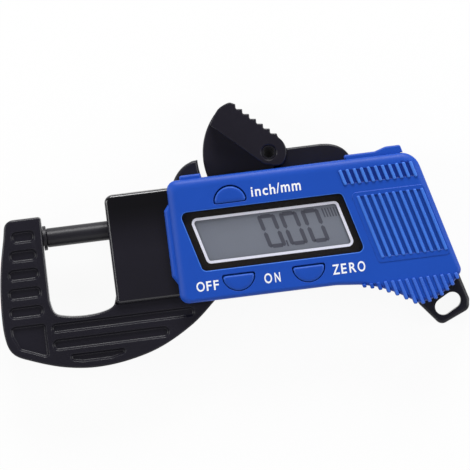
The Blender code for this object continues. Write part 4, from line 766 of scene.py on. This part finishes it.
def pocket_shapes():
    found = []
    right = ARM_FACE - 1.9
    for i in range(5):
        top = 2.4 - 4.5 * i
        bottom = top - 2.85
        found.append(box_corners(frame_edge_x((top + bottom) / 2) + 1.95, bottom, right, top, 1.25))
    found.append([(-65.3, -25.9, 1.5), (right - 1.0, -28.3, 0.8), (right, -28.1, 0.5), (right, -20.2, 0.9),
                  (-66.7, -20.2, 0.9), (-66.7, -22.4, 2.0)])
    found.append(box_corners(ARM_FACE - 0.6, -22.9, GUIDE_END + 1.2, -20.6, 1.1))
    found.append(box_corners(ARM_FACE - 0.7, -27.1, -29.0, -24.4, 1.3))
    found.append([(-53.2, -29.9, 0.8), (-50.5, -30.5, 0.6), (-43.5, -30.5, 0.6), (-40.0, -29.7, 0.8),
                  (-40.0, -28.4, 0.6), (-53.2, -28.4, 0.6)])
    return found


def spindle_channel(bm):
    start = GUIDE_LEFT - OVER
    end = FRAME_END + OVER - start
    narrow, wide = SPINDLE_R + GAP, BUSH_R + SEAT
    profile = [(0.0, 0.0), (narrow, 0.0)]
    for x in (FRONT_BUSH_X, REAR_BUSH_X):
        low, high = x - SEAT - start, x + BUSH_LENGTH + SEAT - start
        profile += [(narrow, low), (wide, low), (wide, high), (narrow, high)]
    turned(bm, profile + [(narrow, end), (0.0, end)], (start, 0.0, SPINDLE_Z), "X", 48)


def guide_pockets(bm, low, high):
    left, right = GUIDE_LEFT + 1.6, GUIDE_END - 1.6
    prism(bm, outline(box_corners(left, 3.8, right, 6.75, 0.6)), low, high)
    prism(bm, outline(box_corners(left, -16.0, right, -3.8, 0.6)), low, high)


def c_frame():
    corners = (sharp(frame_outer()) + block_end() + sharp(frame_throat())
               + [(ARM_FACE, 5.25, 0.8), (ARM_LEFT, 5.25, 2.2)])
    bm = bmesh.new()
    pockets = []
    for shape in pocket_shapes():
        rings = []
        for grow, down in ((0.14, 0.0), (0.05, 0.03), (-0.02, 0.11), (-0.08, 0.25), (-0.2, 0.5), (-0.3, 0.66),
                           (-0.42, 0.76), (-0.56, 0.8)):
            rings.append((outline(shape, grow), FRAME_FRONT - down))
        pockets.append(form(bm, rings))
    solid(bm, rounded(corners, FRAME_BACK, FRAME_FRONT, 0.5, 5, 0.5), pockets)
    made = new_object("c_frame_moulding", bm)
    foot = [(GUIDE_LEFT, -17.6, 0.8), (FRAME_END, -17.6, 0.0)]
    bm = bmesh.new()
    solid(bm, rounded(foot + block_end(), BOX_BACK, SPINDLE_Z - OVER, 0.05, 1, 0.6))
    combine(made, bm, "UNION")
    bm = bmesh.new()
    box(bm, (GUIDE_LEFT - GAP, -17.9, SPINDLE_Z), (GUIDE_END + GAP, 9.35, COVER_TOP))
    combine(made, bm)
    bm = bmesh.new()
    guide_pockets(bm, BOX_BACK + 1.6, COVER_TOP)
    combine(made, bm)
    bm = bmesh.new()
    spindle_channel(bm)
    rod(bm, 1.9, (-62.6, 0.0, SPINDLE_Z), 7.2, "X")
    for x, y in HOUSING_SCREWS[:2]:
        rod(bm, 1.3, (x, y, 0.0), COVER_TOP)
    combine(made, bm)
    bm = bmesh.new()
    rod(bm, 1.1, (ROD_LEFT - SEAT, ROD_Y, SPINDLE_Z), FRAME_END + OVER - ROD_LEFT, "X")
    combine(made, bm)
    dress(made, "housing", BLACK, "black_plastic", "c_frame")


def guide_box_cover():
    corners = [(GUIDE_LEFT, -17.85, 0.8), (GUIDE_END, -17.85, 0.3), (GUIDE_END, 8.35, 0.3), (GUIDE_LEFT, 8.35, 1.8)]
    bm = bmesh.new()
    solid(bm, rounded(corners, SPINDLE_Z + SEAT, BOX_FRONT, 0.85, 6))
    lid = new_object("guide_box_lid", bm)
    bm = bmesh.new()
    guide_pockets(bm, 0.0, BOX_FRONT - 1.6)
    combine(lid, bm)
    bm = bmesh.new()
    spindle_channel(bm)
    combine(lid, bm)
    dress(lid, "housing", LID_BLACK_PAINTED_SHEEN, "black_plastic", "guide_box_cover")


def spindle_and_anvil():
    start = ANVIL_FACE + 0.05
    body = CARRIAGE_LEFT - GAP - start
    bm = bmesh.new()
    turned(bm, [(0.0, 0.0), (SPINDLE_R - 0.25, 0.0), (SPINDLE_R - 0.08, 0.08), (SPINDLE_R, 0.25), (SPINDLE_R, body),
                (TAIL_R, body), (TAIL_R, body + GAP + 5.0), (0.0, body + GAP + 5.0)], (start, 0.0, SPINDLE_Z), "X")
    dress(new_object("spindle_rod", bm), "spindle_carriage", BLACK_STEEL, "black_steel", "spindle")
    bm = bmesh.new()
    shank, face = ARM_FACE + SEAT + 62.5, ANVIL_FACE + 62.5
    turned(bm, [(0.0, 0.0), (1.8, 0.0), (1.8, shank), (2.95, shank), (2.95, face - 0.2), (2.89, face - 0.06),
                (2.75, face), (0.0, face)], (-62.5, 0.0, SPINDLE_Z), "X")
    dress(new_object("anvil_pin", bm), "housing", BLACK_STEEL, "black_steel", "anvil")


# The lever
def pad_corners():
    first = PAD_TIP + 2.67
    teeth = []
    for i in range(TOOTH_COUNT):
        x = first + TOOTH_PITCH * (TOOTH_COUNT - 1 - i)
        teeth += [(x, PAD_RISE + 0.05, 0.2), (x - TOOTH_PITCH * 0.62, PAD_RISE - TOOTH_DEPTH, 0.4)]
    teeth.pop()
    tip = spline([(first - 0.6, PAD_RISE - 0.14), (PAD_TIP + 1.1, PAD_RISE - 0.64), (PAD_TIP + 0.1, 2.0),
                  (PAD_TIP, 0.2), (PAD_TIP + 0.5, -PAD_DROP)])
    low_end = arc((0, 0), BOSS_LOW_R, -98, -48, 10)
    grown = [arc((0, 0), BOSS_LOW_R + (BOSS_R - BOSS_LOW_R) * k / 5, -48 + 8 * k, -48 + 8 * k, 1)[0] for k in range(1, 5)]
    high_end = arc((0, 0), BOSS_R, -8, 80, 16)
    return sharp(low_end + grown + high_end) + [(-0.3, PAD_RISE - 0.45, 0.4)] + teeth + sharp(tip)


def thumb_lever():
    bm = bmesh.new()
    solid(bm, rounded(turned_by(pad_corners(), -LEVER_SWING, PIVOT), WEB_BACK, PAD_FRONT, 0.3, 4, 0.25))
    lever = new_object("thumb_lever_moulding", bm)
    reach = math.atan2(-DRIVE_RADIUS, -TRAVEL / 2 - PIVOT[0])
    along = Vector((math.cos(reach), math.sin(reach)))
    across = Vector((-along.y, along.x))
    slot = 1.3
    half = slot + 1.5
    tip = math.hypot(DRIVE_RADIUS, TRAVEL / 2) + 1.7
    marks = [(9.0, -half), (tip, -half), (tip, -slot), (DRIVE_RADIUS - slot, -slot), (DRIVE_RADIUS - slot, slot),
             (tip, slot), (tip, half), (5.5, half - 0.6)]
    finger = [tuple(along * r + across * w) for r, w in marks]
    web = arc((0, 0), WEB_R, 138, 203, 40) + finger + arc((0, 0), BOSS_LOW_R, -50, 137, 20)
    bm = bmesh.new()
    solid(bm, rounded(sharp(turned_by(web, 0.0, PIVOT)), WEB_BACK, WEB_FRONT, 0.3, 3, 0.2))
    combine(lever, bm, "UNION")
    bm = bmesh.new()
    mouth = [(1.72, 0.28), (1.74, 0.25), (1.98, 0.07), (2.05, 0.0), (2.05, -OVER), (0.0, -OVER)]
    turned(bm, [(0.0, 0.0), (1.56, 0.0), (1.56, 9.5), (1.72, 9.5)] + [(r, PAD_FRONT - down) for r, down in mouth],
           (*PIVOT, 0.0))
    combine(lever, bm)
    dress(lever, "lever", LEVER_BLACK_PAINTED_WEB_LIGHT, "black_plastic", "thumb_lever")


def pivot_screw():
    """The shouldered screw that the lever turns on, its head a little below the lever's face."""
    top = PAD_FRONT - 0.2
    bm = bmesh.new()
    turned(bm, [(0.0, 0.4), (0.95, 0.4), (0.95, REAR_FLOOR + SEAT), (1.5, REAR_FLOOR + SEAT), (1.5, 9.6), (1.65, 9.6),
                (1.65, top - 0.08), (1.6, top), (1.42, top), (1.34, top - 0.1), (1.25, top - 1.8),
                (0.0, top - 2.1)], (*PIVOT, 0.0))
    dress(new_object("pivot_screw_body", bm), "housing", BLACK_STEEL, "black_steel", "lever_pivot_screw")


# Buttons, battery tray and display
def buttons():
    for name, button in (("unit", UNIT_BUTTON), ("power", POWER_BUTTON), ("zero", ZERO_BUTTON)):
        top = COVER_TOP + 0.3
        bm = bmesh.new()
        rings = [(half_moon(button), FACE_BOTTOM - 0.6), (half_moon(button), COVER_TOP - 0.5)]
        for k in range(7):
            angle = math.pi / 2 * k / 6
            rings.append((half_moon(button, -0.08 - 0.55 * (1 - math.cos(angle))), top - 0.06 - 0.4 * (1 - math.sin(angle))))
        rings.append((half_moon(button, -1.1), top))
        solid(bm, rings)
        cap = new_object(name + "_button_cap", bm)
        bm = bmesh.new()
        prism(bm, half_moon(button, 0.6), FACE_BOTTOM - 0.8, FACE_BOTTOM - 0.3)
        combine(cap, bm, "UNION")
        x, y = button[0], button[1] + button[2] * BUTTON_R * 0.45
        bm = bmesh.new()
        rod(bm, 1.2, (x, y, BOARD_FRONT + 1.2), FACE_BOTTOM - 0.6 - BOARD_FRONT - 1.2)
        combine(cap, bm, "UNION")
        dress(cap, name + "_key", CAP_RIM_HIGHLIGHT_BLUE, "blue_plastic", name + "_button")


def battery_tray():
    x, y = CELL_CENTRE
    back = HOUSING_TOP + SEAT
    left, right = x - TRAY_HALF - 0.4, x + TRAY_HALF + 0.6
    step, front = back + 0.95, back + 1.8
    bm = bmesh.new()
    cap = [(left, back, 0.0), (right, back, 0.0), (right - 0.45, front, 0.5), (x + 3.2, front, 1.6),
           (x + 0.5, step, 1.6), (left, step, 0.4)]
    solid(bm, rounded(cap, TRAY_BACK, TRAY_FRONT, 0.4, 5, 0.4))
    tray = new_object("battery_tray_moulding", bm)
    bm = bmesh.new()
    prism(bm, outline(box_corners(x - TRAY_HALF, -1.5, x + TRAY_HALF, back + 0.4)), TRAY_BACK, TRAY_FRONT)
    combine(tray, bm, "UNION")
    bm = bmesh.new()
    rod(bm, CELL_R + SEAT, (x, y, TRAY_BACK + 0.45), COVER_TOP, segments=64)
    combine(tray, bm)
    bm = bmesh.new()
    box(bm, (x - 2.5, -2.5, 0.0), (x + 2.5, y + 3.0, TRAY_BACK + OVER))
    combine(tray, bm)
    dress(tray, "battery_drawer", BLUE, "blue_plastic", "battery_tray")


def flat_ring(bm, outer, inner, low, high):
    plate(bm, [(outer, low), (outer, high)], [[(inner, high), (inner, low)]])


def display():
    bm = bmesh.new()
    flat_ring(bm, outline(WINDOW, 0.5), outline(LCD_SHAPE, -LCD_BORDER), 14.7, 14.95)
    dress(new_object("display_border", bm), "housing", BORDER, "black_plastic", "display_mask")
    bm = bmesh.new()
    flat_ring(bm, outline(LCD_SHAPE), outline(LCD_SHAPE, -LCD_BORDER), 14.95, 14.99)
    dress(new_object("display_line", bm), "housing", LINE, "white_plastic")

    bm = bmesh.new()
    top, height, width, stroke = -0.7, 8.3, 4.25, 0.96
    lean = 0.27
    half = stroke / 2
    for start in (-4.9, 0.35, 5.6):
        def place(u, v):
            return (start + u - lean * (-v), top - v)

        def bar(points):
            prism(bm, [place(u, v) for u, v in points], 14.5, 14.53)

        g = 0.1
        middle = height / 2
        for x in (half, width - half):
            side = 1 if x < width / 2 else -1
            for v0, v1 in ((0.0, middle), (middle, height)):
                ends = (v0 + half + g, v1 - half - g)
                bar([(x, ends[1] + half), (x + half, ends[1]), (x + half, ends[0]), (x, ends[0] - half),
                     (x - half, ends[0]), (x - half, ends[1])])
        for v in (half, height - half):
            u0, u1 = half + g, width - half - g
            bar([(u0, v), (u0 + half, v + half), (u1 - half, v + half), (u1, v), (u1 - half, v - half),
                 (u0 + half, v - half)])
    prism(bm, [(1.72, -9.0), (2.1, -9.0), (1.74, -7.5), (1.36, -7.5)], 14.5, 14.53)
    for k in range(6):
        x = 10.8 + 0.68 * k
        prism(bm, [(x + 0.54, -3.2), (x + 0.86, -3.2), (x + 0.26, -1.0), (x - 0.06, -1.0)], 14.5, 14.53)
    bmesh.ops.recalc_face_normals(bm, faces=bm.faces)
    dress(new_object("lcd_digits", bm), "housing", SEGMENT, None)


def label(name, *words):
    """Flat letters just proud of the cover, each word fitted between its own left, right, low and high."""
    bm = bmesh.new()
    for text, left, right, low, high in words:
        curve = bpy.data.curves.new(name, "FONT")
        curve.body = text
        curve.offset = LETTER_WEIGHT
        curve.extrude = 0.01
        curve.space_character = LETTER_SPACE
        curve.resolution_u = 5
        maker = bpy.data.objects.new(name + "_curve", curve)
        bpy.context.scene.collection.objects.link(maker)
        shown = maker.evaluated_get(bpy.context.evaluated_depsgraph_get())
        mesh = bpy.data.meshes.new_from_object(shown)
        bpy.data.objects.remove(maker)
        lows = [min(v.co[k] for v in mesh.vertices) for k in range(3)]
        highs = [max(v.co[k] for v in mesh.vertices) for k in range(3)]
        goals = ((left, right), (low, high), (COVER_TOP - 0.01, COVER_TOP + 0.025))
        for v in mesh.vertices:
            v.co = [g[0] + (c - a) * (g[1] - g[0]) / (b - a) for c, a, b, g in zip(v.co, lows, highs, goals)]
        bm.from_mesh(mesh)
        bpy.data.meshes.remove(mesh)
    bmesh.ops.remove_doubles(bm, verts=bm.verts, dist=0.002)
    dress(new_object(name, bm), "housing", INK, "white_plastic")


def return_coil():
    start, end, fixed = -7.7, 14.5, 15.0
    turns, turn_steps, sides = 11, 20, 10
    bm = bmesh.new()
    loops = []
    for i in range(turns * turn_steps + 1):
        t = i / (turns * turn_steps)
        angle = 2 * math.pi * turns * t
        out = Vector((0.0, math.cos(angle), math.sin(angle)))
        centre = Vector((start + (end - start) * t, 0.0, SPINDLE_Z)) + out * 1.45
        ring = []
        for k in range(sides):
            around = 2 * math.pi * k / sides
            ring.append(bm.verts.new(centre + (out * math.cos(around) + Vector((math.sin(around), 0, 0))) * 0.2))
        loops.append(ring)
    for low, high in zip(loops, loops[1:]):
        bridge(bm, low, high)
    bm.faces.new(list(reversed(loops[0])))
    bm.faces.new(loops[-1])
    bmesh.ops.recalc_face_normals(bm, faces=bm.faces)
    coil = dress(new_object("return_coil", bm), "housing", STEEL, "steel", "return_spring")
    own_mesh(coil)


front_cover()
rear_shell()
c_frame()
guide_box_cover()
spindle_and_anvil()
thumb_lever()
pivot_screw()
buttons()
battery_tray()
display()
label("label_unit", ("inch", -5.42, 0.4, 3.85, 6.35), ("/", 0.67, 1.5, 3.95, 6.45), ("mm", 1.8, 6.56, 4.0, 5.82))
label("label_off", ("O", -21.2, -19.2, -17.2, -14.85), ("F", -18.8, -17.55, -17.2, -14.9),
      ("F", -17.05, -15.8, -17.2, -14.9))
label("label_on", ("O", -4.8, -2.95, -17.2, -14.8), ("N", -2.3, -0.95, -17.17, -14.85))
label("label_zero", ("Z", 11.68, 13.35, -17.1, -14.7), ("E", 13.75, 15.05, -17.1, -14.7),
      ("R", 15.7, 17.35, -17.1, -14.7), ("O", 17.72, 19.55, -17.15, -14.65))
return_coil()


# Stage, camera and light
def studio():
    bm = bmesh.new()
    for x, y in ((-3000, -3000), (3000, -3000), (3000, 3000), (-3000, 3000)):
        bm.verts.new((x, y, -0.05))
    bm.faces.new(bm.verts)
    floor = new_object("floor", bm)
    white = bpy.data.materials.new("floor_white")
    white.use_nodes = True
    tree = white.node_tree
    tree.nodes.remove(tree.nodes["Principled BSDF"])
    out = tree.nodes["Material Output"]
    lit = tree.nodes.new("ShaderNodeBsdfDiffuse")
    lit.inputs["Color"].default_value = (0.95, 0.95, 0.95, 1.0)
    glow = tree.nodes.new("ShaderNodeEmission")
    path = tree.nodes.new("ShaderNodeLightPath")
    seen = tree.nodes.new("ShaderNodeMath")
    seen.operation = "MAXIMUM"
    either = tree.nodes.new("ShaderNodeMath")
    either.operation = "MAXIMUM"
    share = tree.nodes.new("ShaderNodeMath")
    share.operation = "MULTIPLY"
    share.inputs[1].default_value = 0.93
    mix = tree.nodes.new("ShaderNodeMixShader")
    tree.links.new(path.outputs["Is Camera Ray"], seen.inputs[0])
    tree.links.new(path.outputs["Is Glossy Ray"], seen.inputs[1])
    tree.links.new(seen.outputs[0], either.inputs[0])
    tree.links.new(path.outputs["Is Transmission Ray"], either.inputs[1])
    tree.links.new(either.outputs[0], share.inputs[0])
    tree.links.new(share.outputs[0], mix.inputs[0])
    tree.links.new(lit.outputs[0], mix.inputs[1])
    tree.links.new(glow.outputs[0], mix.inputs[2])
    tree.links.new(mix.outputs[0], out.inputs["Surface"])
    floor.data.materials.append(white)

    world = bpy.data.worlds.new("studio")
    bpy.context.scene.world = world
    world.use_nodes = True
    world.node_tree.nodes["Background"].inputs["Color"].default_value = (1.0, 1.0, 1.0, 1.0)
    world.node_tree.nodes["Background"].inputs["Strength"].default_value = 0.09

    centre = Vector((-10.5, -4.8, 12.0)) * MM
    right = Vector((0.99233, -0.1236, 0.0))
    up = Vector((0.1236, 0.99233, 0.0))

    def softbox(name, across, along, height, width, depth, power):
        lamp = bpy.data.lights.new(name, "AREA")
        lamp.shape = "RECTANGLE"
        lamp.size = width
        lamp.size_y = depth
        lamp.energy = power
        made = bpy.data.objects.new(name, lamp)
        bpy.context.scene.collection.objects.link(made)
        made.location = centre + right * across + up * along + Vector((0, 0, height))
        made.rotation_mode = "QUATERNION"
        made.rotation_quaternion = (made.location - centre).to_track_quat("Z", "Y")

    softbox("key", 0.0, 0.9, 0.46, 0.66, 0.38, 9.4)
    softbox("left", -0.85, 0.1, 0.48, 0.42, 1.0, 4.6)
    softbox("right", 0.85, 0.1, 0.48, 0.42, 1.0, 4.3)
    softbox("fill", 0.0, -0.75, 0.65, 1.6, 0.8, 2.8)

    lens_distance = 2.2
    tilt = math.radians(1.0)
    back = Vector((0, 0, 1)) * math.cos(tilt) + up * math.sin(tilt)
    camera_up = back.cross(right)
    view = bpy.data.cameras.new("photo_view")
    view.sensor_width = 36.0
    view.lens = 36.0 * lens_distance / (470 * 0.24 * MM)
    view.clip_start = 0.05
    view.clip_end = 20.0
    camera = bpy.data.objects.new("photo_view", view)
    bpy.context.scene.collection.objects.link(camera)
    turn = Matrix((right, camera_up, back)).transposed()
    camera.matrix_world = Matrix.Translation(centre + back * lens_distance) @ turn.to_4x4()
    bpy.context.scene.camera = camera
    bpy.context.scene.view_settings.view_transform = "Standard"


studio()
